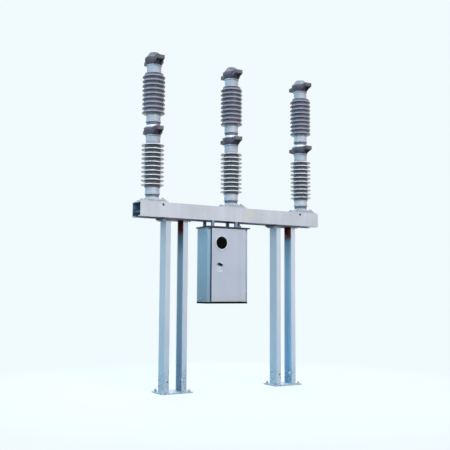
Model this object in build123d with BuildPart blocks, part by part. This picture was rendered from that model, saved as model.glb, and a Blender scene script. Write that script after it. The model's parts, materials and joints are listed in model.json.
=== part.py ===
"""Outdoor three-pole circuit breaker with gas-filled porcelain poles on a two-legged steel frame.

Millimetres. The origin is on the ground under the middle of the beam, +X runs along the beam,
+Y to the rear and +Z up, so the cabinet door faces -Y.
"""
import os

from build123d import *

os.makedirs("parts", exist_ok=True)

# Frame: two legs, each of two upright channels, carry a beam of two lying channels
beam_length = 2600.0
pole_end_inset = 200.0
beam_depth = 240.0
beam_height = 180.0
beam_flange_width = 70.0
beam_flange_thickness = 10.0
beam_web_thickness = 8.0
beam_bottom_level = 2075.0
lifting_hole_diameter = 28.0
lifting_hole_drop = 27.0
lifting_hole_inset = 295.0
spacer_diameter = 24.0
spacer_inset = 24.0
spacer_rise = 62.0

leg_end_inset = 500.0
leg_width = 298.0
leg_depth = 160.0
leg_flange_width = 65.0
leg_flange_thickness = 10.0
leg_web_thickness = 8.5
leg_top_plate_length = 390.0
leg_top_plate_thickness = 18.0
base_plate_length = 410.0
base_plate_depth = 280.0
base_plate_thickness = 14.0
anchor_spacing_x = 340.0
anchor_spacing_y = 220.0
anchor_hole_diameter = 22.0

# Poles: a seat plate, a cast base, a support insulator, a lower terminal, an interrupter and a head
seat_length = 330.0
seat_thickness = 14.0
seat_bore_diameter = 96.0
base_flange_side = 250.0
base_flange_thickness = 24.0
base_flange_corner_radius = 24.0
base_skirt_height = 25.0
base_skirt_diameter = 214.0
base_band_height = 30.0
base_band_diameter = 162.0

collar_diameter = 174.0
collar_lip_diameter = 184.0
collar_lip_height = 16.0
support_bottom_collar_height = 87.0
support_top_collar_height = 101.0
interrupter_bottom_collar_height = 105.0
interrupter_top_collar_height = 111.0
joint_flange_diameter = 190.0
joint_flange_height = 32.0
joint_neck_diameter = 164.0
joint_neck_height = 36.0

shed_diameter = 276.0
shed_rim_height = 13.0
shed_under_fall = 5.0
support_core_diameter = 196.0
support_shed_top_fall = 16.0
support_shed_count = 10
support_shed_pitch = 53.4
interrupter_core_diameter = 240.0
interrupter_shed_top_fall = 36.0
interrupter_shed_count = 9
interrupter_shed_pitch = 54.9

terminal_cone_height = 42.0
terminal_rim_height = 45.0
terminal_rim_diameter = 226.0
terminal_span = 393.0
terminal_pad_width = 100.0
terminal_pad_thickness = 44.0
terminal_pad_corner_radius = 8.0
terminal_hole_diameter = 14.0
terminal_hole_spacing = 50.0
terminal_hole_inset = 20.0
terminal_web_thickness = 14.0
terminal_web_inset = 12.0
terminal_web_foot = 140.0
head_cap_diameter = 196.0
head_cap_height = 66.0
head_cap_wall_height = 12.0
head_cap_top_diameter = 124.0

# Drive under the poles: crank housings in the slot of the beam, joined by a tie rod
crank_housing_length = 270.0
crank_housing_width = 88.0
crank_housing_height = 150.0
tie_rod_diameter = 36.0
tie_rod_rise_share = 0.3
operating_rod_diameter = 34.0
operating_rod_offset = 116.0

# Mechanism cabinet hung under the beam, a little left of its middle
cabinet_offset = -122.0
cabinet_width = 576.0
cabinet_depth = 262.0
cabinet_height = 916.0
cabinet_hang_gap = 73.0
sheet_thickness = 4.0
stile_width = 66.0
sill_height = 25.0
roof_thickness = 16.0
roof_side_overhang = 15.0
roof_front_overhang = 45.0
roof_rear_overhang = 15.0
hanger_side = 34.0
hanger_spacing = 335.0
hanger_shift = -34.0

# Door on the right-hand stile, with its round window and its latch
door_width = 486.0
door_end_margin = 8.0
door_thickness = 24.0
door_panel_thickness = 4.0
door_rim_width = 18.0
door_gap = 6.0
door_corner_radius = 4.0
window_diameter = 164.0
window_ring_diameter = 190.0
window_ring_lap = 5.0
window_ring_thickness = 8.0
window_glass_thickness = 6.0
window_drop = 180.0
window_inset = 138.0
seat_clearance = 0.3
latch_plate_width = 84.0
latch_plate_height = 122.0
latch_plate_thickness = 4.0
latch_plate_corner_radius = 6.0
latch_inset = 112.0
latch_drop = 427.0
latch_boss_diameter = 22.0
latch_boss_height = 8.0
latch_lever_length = 66.0
latch_lever_width = 24.0
latch_lever_thickness = 14.0
latch_lever_drop = 18.0
latch_lever_tilt = 24.0

# Hinges: a fixed knuckle with its pin on the stile, a turning knuckle on the door
hinge_barrel_diameter = 16.0
hinge_pin_diameter = 8.0
hinge_pin_clearance = 0.08
hinge_knuckle_height = 30.0
hinge_knuckle_gap = 0.5
hinge_leaf_width = 12.0
hinge_offset = 12.0
hinge_inset = 120.0

# Mechanism behind the door
mechanism_width = 300.0
mechanism_depth = 110.0
mechanism_height = 380.0
mechanism_top_gap = 90.0
spring_drum_diameter = 140.0
spring_drum_depth = 70.0
spring_drum_offset = 60.0
spring_drum_rise = 100.0
indicator_diameter = 120.0
indicator_thickness = 5.0
indicator_shaft_diameter = 20.0
indicator_setback = 45.0

# Levels and places that follow from the sizes above
beam_top_level = beam_bottom_level + beam_height
seat_top_level = beam_top_level + seat_thickness
pole_spacing = beam_length / 2 - pole_end_inset
leg_spacing = beam_length - 2 * leg_end_inset
pole_places = {"left": -pole_spacing, "middle": 0.0, "right": pole_spacing}
leg_places = {"left": -leg_spacing / 2, "right": leg_spacing / 2}

base_height = base_flange_thickness + base_skirt_height + base_band_height
support_bottom_level = seat_top_level + base_height
support_shed_level = support_bottom_level + support_bottom_collar_height
support_shed_height = support_shed_count * support_shed_pitch
support_top_level = support_shed_level + support_shed_height
lower_terminal_level = support_top_level + support_top_collar_height
terminal_height = terminal_cone_height + terminal_rim_height
interrupter_joint_level = lower_terminal_level + terminal_height
interrupter_collar_level = interrupter_joint_level + joint_flange_height + joint_neck_height
interrupter_shed_level = interrupter_collar_level + interrupter_bottom_collar_height
interrupter_shed_height = interrupter_shed_count * interrupter_shed_pitch
interrupter_top_level = interrupter_shed_level + interrupter_shed_height
upper_terminal_level = interrupter_top_level + interrupter_top_collar_height

roof_top_level = beam_bottom_level - cabinet_hang_gap
cabinet_top_level = roof_top_level - roof_thickness
cabinet_floor_level = cabinet_top_level - cabinet_height
cabinet_front = -cabinet_depth / 2
door_back = cabinet_front - door_gap
door_front = door_back - door_thickness
door_height = cabinet_height - 2 * door_end_margin
door_middle_level = cabinet_floor_level + cabinet_height / 2
door_left = cabinet_offset - door_width / 2
door_right = cabinet_offset + door_width / 2
door_top_level = door_middle_level + door_height / 2
door_bottom_level = door_middle_level - door_height / 2
window_x = door_left + window_inset
window_level = door_top_level - window_drop
latch_x = door_left + latch_inset
latch_plate_level = door_top_level - latch_drop - latch_plate_height / 2
latch_lever_level = door_top_level - latch_drop - latch_lever_drop
hinge_x = door_right + hinge_offset
hinge_y = (door_front + door_back) / 2
hinge_levels = (door_bottom_level + hinge_inset, door_top_level - hinge_inset)
mechanism_top_level = cabinet_top_level - mechanism_top_gap
mechanism_bottom_level = mechanism_top_level - mechanism_height
mechanism_back = cabinet_depth / 2 - sheet_thickness
mechanism_front = mechanism_back - mechanism_depth


def keep(piece, name):
    """Label a finished piece and write it under its own name."""
    piece.part.label = name
    export_step(piece.part, f"parts/{name}.step")


def facing_front(depth):
    """A plane across the depth of the breaker that looks out to the front."""
    return Plane((0, depth, 0), x_dir=(1, 0, 0), z_dir=(0, -1, 0))


# Beam: each channel has its web outwards and its flanges towards the other
for side, facing in (("front", 1), ("rear", -1)):
    web_face = -facing * beam_depth / 2
    flange_middle = web_face + facing * beam_flange_width / 2
    hollow_middle = flange_middle + facing * beam_web_thickness
    beam_middle_level = beam_bottom_level + beam_height / 2
    with BuildPart() as beam_channel:
        with BuildSketch(Plane.YZ.offset(-beam_length / 2)):
            with Locations((flange_middle, beam_middle_level)):
                Rectangle(beam_flange_width, beam_height)
            with Locations((hollow_middle, beam_middle_level)):
                Rectangle(beam_flange_width, beam_height - 2 * beam_flange_thickness, mode=Mode.SUBTRACT)
        extrude(amount=beam_length)
        with BuildSketch(Plane.XZ.offset(-web_face)):
            with Locations((0, beam_top_level - lifting_hole_drop)):
                with GridLocations(beam_length - 2 * lifting_hole_inset, 0, 2, 1):
                    Circle(lifting_hole_diameter / 2)
        extrude(amount=beam_web_thickness, both=True, mode=Mode.SUBTRACT)
    keep(beam_channel, f"{side}_beam_channel")

with BuildPart() as spacers:
    with BuildSketch(Plane.XZ):
        with Locations((0, beam_bottom_level + spacer_rise)):
            with GridLocations(beam_length - 2 * spacer_inset, 0, 2, 1):
                Circle(spacer_diameter / 2)
    extrude(amount=beam_depth / 2 - beam_web_thickness, both=True)
keep(spacers, "beam_spacers")

# Legs: webs outwards, flanges towards each other, between a base plate and a top plate
leg_bottom = base_plate_thickness
leg_height = beam_bottom_level - base_plate_thickness - leg_top_plate_thickness
toe_gap = leg_width - 2 * leg_flange_width
for side, leg_x in leg_places.items():
    with BuildPart() as leg_channels:
        with BuildSketch(Plane.XY.offset(leg_bottom)):
            with Locations((leg_x, 0)):
                Rectangle(leg_width, leg_depth)
                Rectangle(toe_gap, leg_depth, mode=Mode.SUBTRACT)
                hollow_depth = leg_depth - 2 * leg_flange_thickness
                Rectangle(leg_width - 2 * leg_web_thickness, hollow_depth, mode=Mode.SUBTRACT)
        extrude(amount=leg_height)
    keep(leg_channels, f"{side}_leg_channels")

    with BuildPart() as base_plate:
        with BuildSketch():
            with Locations((leg_x, 0)):
                Rectangle(base_plate_length, base_plate_depth)
                with GridLocations(anchor_spacing_x, anchor_spacing_y, 2, 2):
                    Circle(anchor_hole_diameter / 2, mode=Mode.SUBTRACT)
        extrude(amount=base_plate_thickness)
    keep(base_plate, f"{side}_base_plate")

    with BuildPart() as leg_top_plate:
        with BuildSketch(Plane.XY.offset(leg_bottom + leg_height)):
            with Locations((leg_x, 0)):
                Rectangle(leg_top_plate_length, beam_depth)
        extrude(amount=leg_top_plate_thickness)
    keep(leg_top_plate, f"{side}_leg_top_plate")

# Seats on the beam, crank housings in its slot, and the rods that link them
pole_axes = [(pole_x, 0) for pole_x in pole_places.values()]
with BuildPart() as pole_seats:
    with BuildSketch(Plane.XY.offset(beam_top_level)):
        with Locations(*pole_axes):
            Rectangle(seat_length, beam_depth)
            Circle(seat_bore_diameter / 2, mode=Mode.SUBTRACT)
    extrude(amount=seat_thickness)
keep(pole_seats, "pole_seats")

crank_bottom_level = beam_top_level - crank_housing_height
with BuildPart() as crank_housings:
    with BuildSketch(Plane.XY.offset(crank_bottom_level)):
        with Locations(*pole_axes):
            Rectangle(crank_housing_length, crank_housing_width)
    extrude(amount=crank_housing_height)
keep(crank_housings, "crank_housings")

tie_rod_level = crank_bottom_level + tie_rod_rise_share * crank_housing_height
with BuildPart() as drive_rods:
    for pole_x in (pole_places["left"], pole_places["middle"]):
        with BuildSketch(Plane.YZ.offset(pole_x + crank_housing_length / 2)):
            with Locations((0, tie_rod_level)):
                Circle(tie_rod_diameter / 2)
        extrude(amount=pole_spacing - crank_housing_length)
    with BuildSketch(Plane.XY.offset(roof_top_level)):
        with Locations((operating_rod_offset, 0)):
            Circle(operating_rod_diameter / 2)
    extrude(amount=crank_bottom_level - roof_top_level)
keep(drive_rods, "drive_rods")


def shed_outline(bottom, count, pitch, core_diameter, top_fall):
    """Half outline of a porcelain with its sheds, each a rim that falls from the core above it."""
    points = [(0, bottom), (core_diameter / 2, bottom)]
    for step in range(count):
        rim_top = bottom + (step + 1) * pitch - top_fall
        rim_bottom = rim_top - shed_rim_height
        points.append((core_diameter / 2, rim_bottom + shed_under_fall))
        points.append((shed_diameter / 2, rim_bottom))
        points.append((shed_diameter / 2, rim_top))
        points.append((core_diameter / 2, rim_top + top_fall))
    points.append((0, bottom + count * pitch))
    return points


def collar(bottom, height, lip_at_top):
    """Half outline of a cast collar, with its lip at the end away from the sheds."""
    top = bottom + height
    radius = collar_diameter / 2
    lip_radius = collar_lip_diameter / 2
    if lip_at_top:
        lip_level = top - collar_lip_height
        lower_points = [(0, bottom), (radius, bottom), (radius, lip_level)]
        upper_points = [(lip_radius, lip_level), (lip_radius, top), (0, top)]
    else:
        lip_level = bottom + collar_lip_height
        lower_points = [(0, bottom), (lip_radius, bottom), (lip_radius, lip_level)]
        upper_points = [(radius, lip_level), (radius, top), (0, top)]
    return lower_points + upper_points


def terminal_outline(bottom):
    """Half outline of a terminal casting: a cone that opens to a round rim."""
    cone_top = bottom + terminal_cone_height
    top = cone_top + terminal_rim_height
    return [(0, bottom), (collar_diameter / 2, bottom), (terminal_rim_diameter / 2, cone_top),
            (terminal_rim_diameter / 2, top), (0, top)]


def half_section(points, pole_x):
    """A closed half outline, standing on the axis of the pole at pole_x and ready to be turned."""
    with BuildSketch(Plane((pole_x, 0, 0), x_dir=(1, 0, 0), z_dir=(0, -1, 0))) as section:
        with BuildLine():
            Polyline(*points, close=True)
        make_face()
    return section.sketch


def terminal_pads(pole_x, top):
    """Outline of the flat pads that run to the front and the rear of a terminal."""
    with BuildSketch(Plane.XY.offset(top)) as pads:
        with Locations((pole_x, 0)):
            RectangleRounded(terminal_pad_width, terminal_span, terminal_pad_corner_radius)
    return pads.sketch


def terminal_web(web_x, bottom):
    """Side outline of a web that carries both pads of a terminal, from the collar out under their ends."""
    pad_underside = bottom + terminal_height - terminal_pad_thickness
    web_end = terminal_span / 2 - terminal_web_inset
    foot_end = terminal_web_foot / 2
    with BuildSketch(Plane.YZ.offset(web_x)) as web:
        with BuildLine():
            Polyline((-foot_end, bottom), (foot_end, bottom), (web_end, pad_underside),
                     (-web_end, pad_underside), close=True)
        make_face()
    return web.sketch


def terminal_holes(pole_x, top):
    """The four bolt holes of each pad of a terminal."""
    hole_y = terminal_span / 2 - terminal_hole_inset - terminal_hole_spacing / 2
    with BuildSketch(Plane.XY.offset(top)) as holes:
        with Locations((pole_x, -hole_y), (pole_x, hole_y)):
            with GridLocations(terminal_hole_spacing, terminal_hole_spacing, 2, 2):
                Circle(terminal_hole_diameter / 2)
    return holes.sketch


# Poles, from the cast base up
skirt_level = seat_top_level + base_flange_thickness
band_level = skirt_level + base_skirt_height
base_outline = [
    (0, skirt_level), (base_skirt_diameter / 2, skirt_level), (base_band_diameter / 2, band_level),
    (base_band_diameter / 2, support_bottom_level), (0, support_bottom_level),
]
neck_level = interrupter_joint_level + joint_flange_height
joint_outline = [
    (0, interrupter_joint_level), (joint_flange_diameter / 2, interrupter_joint_level),
    (joint_flange_diameter / 2, neck_level), (joint_neck_diameter / 2, neck_level),
    (joint_neck_diameter / 2, interrupter_collar_level), (0, interrupter_collar_level),
]
collar_outlines = [
    collar(support_bottom_level, support_bottom_collar_height, False),
    collar(support_top_level, support_top_collar_height, True),
    joint_outline,
    collar(interrupter_collar_level, interrupter_bottom_collar_height, False),
    collar(interrupter_top_level, interrupter_top_collar_height, True),
]
head_level = upper_terminal_level + terminal_height
cap_level = head_level + head_cap_height
cap_radius = head_cap_diameter / 2
cap_outline = [
    (0, head_level), (cap_radius, head_level), (cap_radius, head_level + head_cap_wall_height),
    (head_cap_top_diameter / 2, cap_level), (0, cap_level),
]
web_places = (-terminal_pad_width / 2, terminal_pad_width / 2 - terminal_web_thickness)
for side, pole_x in pole_places.items():
    pole_axis = Axis((pole_x, 0, 0), (0, 0, 1))

    with BuildPart() as pole_base:
        with BuildSketch(Plane.XY.offset(seat_top_level)):
            with Locations((pole_x, 0)):
                RectangleRounded(base_flange_side, base_flange_side, base_flange_corner_radius)
        extrude(amount=base_flange_thickness)
        revolve(half_section(base_outline, pole_x), axis=pole_axis)
    keep(pole_base, f"{side}_pole_base")

    with BuildPart() as pole_collars:
        for outline in collar_outlines:
            revolve(half_section(outline, pole_x), axis=pole_axis)
    keep(pole_collars, f"{side}_pole_collars")

    with BuildPart() as support_insulator:
        sheds = shed_outline(support_shed_level, support_shed_count, support_shed_pitch,
                             support_core_diameter, support_shed_top_fall)
        revolve(half_section(sheds, pole_x), axis=pole_axis)
    keep(support_insulator, f"{side}_support_insulator")

    with BuildPart() as lower_terminal:
        revolve(half_section(terminal_outline(lower_terminal_level), pole_x), axis=pole_axis)
        extrude(terminal_pads(pole_x, interrupter_joint_level), amount=-terminal_pad_thickness)
        for web_x in web_places:
            extrude(terminal_web(pole_x + web_x, lower_terminal_level), amount=terminal_web_thickness)
        holes = terminal_holes(pole_x, interrupter_joint_level)
        extrude(holes, amount=-terminal_pad_thickness, mode=Mode.SUBTRACT)
    keep(lower_terminal, f"{side}_lower_terminal")

    with BuildPart() as interrupter_insulator:
        sheds = shed_outline(interrupter_shed_level, interrupter_shed_count, interrupter_shed_pitch,
                             interrupter_core_diameter, interrupter_shed_top_fall)
        revolve(half_section(sheds, pole_x), axis=pole_axis)
    keep(interrupter_insulator, f"{side}_interrupter_insulator")

    with BuildPart() as upper_terminal:
        revolve(half_section(terminal_outline(upper_terminal_level), pole_x), axis=pole_axis)
        extrude(terminal_pads(pole_x, head_level), amount=-terminal_pad_thickness)
        for web_x in web_places:
            extrude(terminal_web(pole_x + web_x, upper_terminal_level), amount=terminal_web_thickness)
        holes = terminal_holes(pole_x, head_level)
        extrude(holes, amount=-terminal_pad_thickness, mode=Mode.SUBTRACT)
        revolve(half_section(cap_outline, pole_x), axis=pole_axis)
    keep(upper_terminal, f"{side}_upper_terminal")

# Cabinet: folded side walls with front stiles, a back, a floor with a sill, and an overhanging roof
wall_level = cabinet_floor_level + sheet_thickness
wall_height = cabinet_height - sheet_thickness
for side, facing in (("left", 1), ("right", -1)):
    outer_face = cabinet_offset - facing * cabinet_width / 2
    with BuildPart() as side_wall:
        with BuildSketch(Plane.XY.offset(wall_level)):
            with Locations((outer_face + facing * sheet_thickness / 2, 0)):
                Rectangle(sheet_thickness, cabinet_depth)
            with Locations((outer_face + facing * stile_width / 2, cabinet_front + sheet_thickness / 2)):
                Rectangle(stile_width, sheet_thickness)
        extrude(amount=wall_height)
    keep(side_wall, f"cabinet_{side}_wall")

with BuildPart() as back_wall:
    with BuildSketch(Plane.XY.offset(wall_level)):
        with Locations((cabinet_offset, cabinet_depth / 2 - sheet_thickness / 2)):
            Rectangle(cabinet_width - 2 * sheet_thickness, sheet_thickness)
    extrude(amount=wall_height)
keep(back_wall, "cabinet_back_wall")

with BuildPart() as cabinet_floor:
    with BuildSketch(Plane.XY.offset(cabinet_floor_level)):
        with Locations((cabinet_offset, 0)):
            Rectangle(cabinet_width, cabinet_depth)
    extrude(amount=sheet_thickness)
    with BuildSketch(Plane.XY.offset(wall_level)):
        with Locations((cabinet_offset, cabinet_front + sheet_thickness / 2)):
            Rectangle(cabinet_width - 2 * stile_width, sheet_thickness)
    extrude(amount=sill_height)
keep(cabinet_floor, "cabinet_floor")

roof_depth = cabinet_depth + roof_front_overhang + roof_rear_overhang
with BuildPart() as cabinet_roof:
    with BuildSketch(Plane.XY.offset(cabinet_top_level)):
        with Locations((cabinet_offset, (roof_rear_overhang - roof_front_overhang) / 2)):
            Rectangle(cabinet_width + 2 * roof_side_overhang, roof_depth)
    extrude(amount=roof_thickness)
keep(cabinet_roof, "cabinet_roof")

with BuildPart() as hangers:
    with BuildSketch(Plane.XY.offset(roof_top_level)):
        with Locations((cabinet_offset + hanger_shift, 0)):
            with GridLocations(hanger_spacing, beam_depth - hanger_side, 2, 2):
                Rectangle(hanger_side, hanger_side)
    extrude(amount=cabinet_hang_gap)
keep(hangers, "cabinet_hangers")

# Mechanism on the back wall: the closed unit with its spring drum, and the indicator behind the window
with BuildPart() as mechanism_unit:
    with BuildSketch(Plane.XY.offset(mechanism_bottom_level)):
        with Locations((cabinet_offset, mechanism_back - mechanism_depth / 2)):
            Rectangle(mechanism_width, mechanism_depth)
    extrude(amount=mechanism_height)
    with BuildSketch(facing_front(mechanism_front)):
        with Locations((cabinet_offset + spring_drum_offset, mechanism_bottom_level + spring_drum_rise)):
            Circle(spring_drum_diameter / 2)
    extrude(amount=spring_drum_depth)
keep(mechanism_unit, "mechanism_unit")

indicator_front = door_back + indicator_setback
with BuildPart() as position_indicator:
    with BuildSketch(facing_front(mechanism_front)):
        with Locations((window_x, window_level)):
            Circle(indicator_shaft_diameter / 2)
    extrude(amount=mechanism_front - indicator_front)
    with BuildSketch(facing_front(indicator_front + indicator_thickness)):
        with Locations((window_x, window_level)):
            Circle(indicator_diameter / 2)
    extrude(amount=indicator_thickness)
keep(position_indicator, "position_indicator")

# Door: a folded panel with its rim turned back, cut through for the window
with BuildPart() as door:
    with BuildSketch(facing_front(door_back)):
        with Locations((cabinet_offset, door_middle_level)):
            RectangleRounded(door_width, door_height, door_corner_radius)
    extrude(amount=door_thickness)
    with BuildSketch(facing_front(door_back)):
        with Locations((cabinet_offset, door_middle_level)):
            Rectangle(door_width - 2 * door_rim_width, door_height - 2 * door_rim_width)
    extrude(amount=door_thickness - door_panel_thickness, mode=Mode.SUBTRACT)
    with BuildSketch(facing_front(door_back)):
        with Locations((window_x, window_level)):
            Circle(window_diameter / 2)
    extrude(amount=door_thickness, mode=Mode.SUBTRACT)
keep(door, "door")

with BuildPart() as window_ring:
    with BuildSketch(facing_front(door_front)):
        with Locations((window_x, window_level)):
            Circle(window_ring_diameter / 2)
            Circle(window_diameter / 2 - window_ring_lap, mode=Mode.SUBTRACT)
    extrude(amount=window_ring_thickness)
keep(window_ring, "window_ring")

with BuildPart() as window_glass:
    with BuildSketch(facing_front(door_front)):
        with Locations((window_x, window_level)):
            Circle(window_diameter / 2 - seat_clearance)
    extrude(amount=-window_glass_thickness)
keep(window_glass, "window_glass")

with BuildPart() as latch_plate:
    with BuildSketch(facing_front(door_front)):
        with Locations((latch_x, latch_plate_level)):
            RectangleRounded(latch_plate_width, latch_plate_height, latch_plate_corner_radius)
    extrude(amount=latch_plate_thickness)
keep(latch_plate, "latch_plate")

latch_seat = door_front - latch_plate_thickness - seat_clearance
with BuildPart() as latch_lever:
    with BuildSketch(facing_front(latch_seat)):
        with Locations((latch_x, latch_lever_level)):
            Circle(latch_boss_diameter / 2)
    extrude(amount=latch_boss_height)
    with BuildSketch(facing_front(latch_seat - latch_boss_height)):
        with Locations((latch_x, latch_lever_level)):
            SlotOverall(latch_lever_length, latch_lever_width, rotation=-latch_lever_tilt)
    extrude(amount=latch_lever_thickness)
keep(latch_lever, "latch_lever")

# Hinges: each fixed knuckle stands on the stile and carries the pin, and the door's knuckle turns on it
with BuildPart() as stile_hinges:
    for level in hinge_levels:
        with BuildSketch(Plane.XY.offset(level - hinge_knuckle_height)):
            with Locations((hinge_x, hinge_y)):
                Circle(hinge_barrel_diameter / 2)
            with Locations((hinge_x, (hinge_y + cabinet_front) / 2)):
                Rectangle(hinge_leaf_width, cabinet_front - hinge_y)
        extrude(amount=hinge_knuckle_height)
        with BuildSketch(Plane.XY.offset(level)):
            with Locations((hinge_x, hinge_y)):
                Circle(hinge_pin_diameter / 2)
        extrude(amount=hinge_knuckle_gap + hinge_knuckle_height)
keep(stile_hinges, "stile_hinges")

with BuildPart() as door_hinges:
    for level in hinge_levels:
        with BuildSketch(Plane.XY.offset(level + hinge_knuckle_gap)):
            with Locations((hinge_x, hinge_y)):
                Circle(hinge_barrel_diameter / 2)
            with Locations(((door_right + hinge_x) / 2, hinge_y)):
                Rectangle(hinge_x - door_right, hinge_leaf_width)
            with Locations((hinge_x, hinge_y)):
                Circle(hinge_pin_diameter / 2 + hinge_pin_clearance, mode=Mode.SUBTRACT)
        extrude(amount=hinge_knuckle_height)
keep(door_hinges, "door_hinges")
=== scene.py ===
"""Looks of an outdoor three-pole circuit breaker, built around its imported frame.

Every length is in metres and every piece stands in the frame's own axes: +X runs along the beam,
+Y to the rear and +Z up, so the cabinet door faces -Y.
"""
import json
import math

import bmesh
import bpy
from bpy.props import FloatProperty, FloatVectorProperty, IntProperty, PointerProperty
from mathutils import Matrix, Vector

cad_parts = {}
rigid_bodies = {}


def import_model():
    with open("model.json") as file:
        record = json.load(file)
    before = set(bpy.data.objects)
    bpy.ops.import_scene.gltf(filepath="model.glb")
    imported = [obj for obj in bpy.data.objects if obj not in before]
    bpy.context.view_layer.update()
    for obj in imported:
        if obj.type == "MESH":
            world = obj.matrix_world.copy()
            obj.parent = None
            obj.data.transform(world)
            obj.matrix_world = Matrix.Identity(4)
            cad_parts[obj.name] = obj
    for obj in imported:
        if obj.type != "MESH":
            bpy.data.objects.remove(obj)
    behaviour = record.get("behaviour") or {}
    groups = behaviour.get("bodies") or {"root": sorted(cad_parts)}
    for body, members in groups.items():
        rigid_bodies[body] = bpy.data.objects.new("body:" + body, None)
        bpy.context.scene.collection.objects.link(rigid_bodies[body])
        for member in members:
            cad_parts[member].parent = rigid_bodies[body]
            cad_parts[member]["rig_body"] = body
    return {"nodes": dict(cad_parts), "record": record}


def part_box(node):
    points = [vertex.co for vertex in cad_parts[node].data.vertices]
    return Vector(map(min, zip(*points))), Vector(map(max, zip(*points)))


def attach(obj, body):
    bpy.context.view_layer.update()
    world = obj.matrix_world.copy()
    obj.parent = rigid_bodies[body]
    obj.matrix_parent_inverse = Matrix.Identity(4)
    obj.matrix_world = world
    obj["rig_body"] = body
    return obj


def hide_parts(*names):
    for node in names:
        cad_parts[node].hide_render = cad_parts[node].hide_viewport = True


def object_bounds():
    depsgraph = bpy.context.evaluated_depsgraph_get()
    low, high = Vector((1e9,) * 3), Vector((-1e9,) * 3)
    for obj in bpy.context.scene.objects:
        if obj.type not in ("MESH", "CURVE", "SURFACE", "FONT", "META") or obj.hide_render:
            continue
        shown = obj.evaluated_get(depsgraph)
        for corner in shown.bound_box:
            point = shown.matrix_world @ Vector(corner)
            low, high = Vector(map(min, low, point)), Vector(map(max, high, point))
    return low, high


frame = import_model()
cad_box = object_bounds()
slots = {part["node"]: part["material_slot"] for part in frame["record"]["subparts"]}
mounts = {mount["name"]: mount for mount in frame["record"]["mounts"]}

bl_info = {
    "name": "Circuit breaker looks",
    "version": (1, 0, 0),
    "blender": (4, 5, 0),
    "location": "3D View > Sidebar > Breaker",
    "description": "Dresses the circuit breaker in steel, porcelain, castings, paint and fasteners",
    "category": "Object",
}

POLES = ("left", "middle", "right")
LEGS = ("left", "right")
TERMINALS = ("lower", "upper")
INSULATORS = ("support", "interrupter")
QUARTERS = [(x, y) for x in (-1, 1) for y in (-1, 1)]
ACROSS, REAR, UP = (1, 0, 0), (0, 1, 0), (0, 0, 1)
LEFT, FRONT, DOWN = (-1, 0, 0), (0, -1, 0), (0, 0, -1)

# Steps of round shapes, angles up to which faces count as flat or smooth, and seeds
TURN_STEPS = 72
ARC_STEPS = 4
HOLE_STEPS = 32
FLAT_ANGLE = math.radians(0.5)
SMOOTH_ANGLE = math.radians(40)
SHED_ANGLE = math.radians(60)
TURN_SEED = 1
BEAD_SEED = 3

# Small lengths, the last two for the soft edge of a painted area and its reach past a face
MM = 0.001
SAME_POINT = 1e-6
HAIR = 0.0001
PAST = 3 * HAIR


# Sizes and colours

def linear(red, green, blue):
    """Linear colour of a screen colour whose channels run from 0 to 255."""
    shares = [level / 255 for level in (red, green, blue)]
    return tuple(s / 12.92 if s <= 0.04045 else ((s + 0.055) / 1.055) ** 2.4 for s in shares)


def colour(name, description, *screen):
    """A colour that a user may change, given as it shows on a screen."""
    return FloatVectorProperty(
        name=name, description=description, default=linear(*screen), subtype="COLOR", size=3, min=0, max=1)


def length(name, description, default):
    """A length that a user may change, in metres."""
    return FloatProperty(name=name, description=description, default=default, min=0, unit="LENGTH")


def number(name, description, default):
    """A number of like things that a user may change."""
    return IntProperty(name=name, description=description, default=default, min=1)


def levels(name, description, start, full):
    """Two lengths between which something on a surface gets stronger, in metres."""
    return FloatVectorProperty(
        name=name, description=description, default=(start, full), size=2, min=0, unit="LENGTH")


def position(name, description, *default):
    """A place that a user may change, in metres."""
    return FloatVectorProperty(
        name=name, description=description, default=default, subtype="TRANSLATION", unit="LENGTH")


def bearing(name, description, degrees):
    """An angle that a user may change, given in degrees."""
    return FloatProperty(
        name=name, description=description, default=math.radians(degrees), subtype="ANGLE")


def strength(name, description, default):
    """A strength of light, or of a lens, that a user may change."""
    return FloatProperty(name=name, description=description, default=default, min=0)


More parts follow.
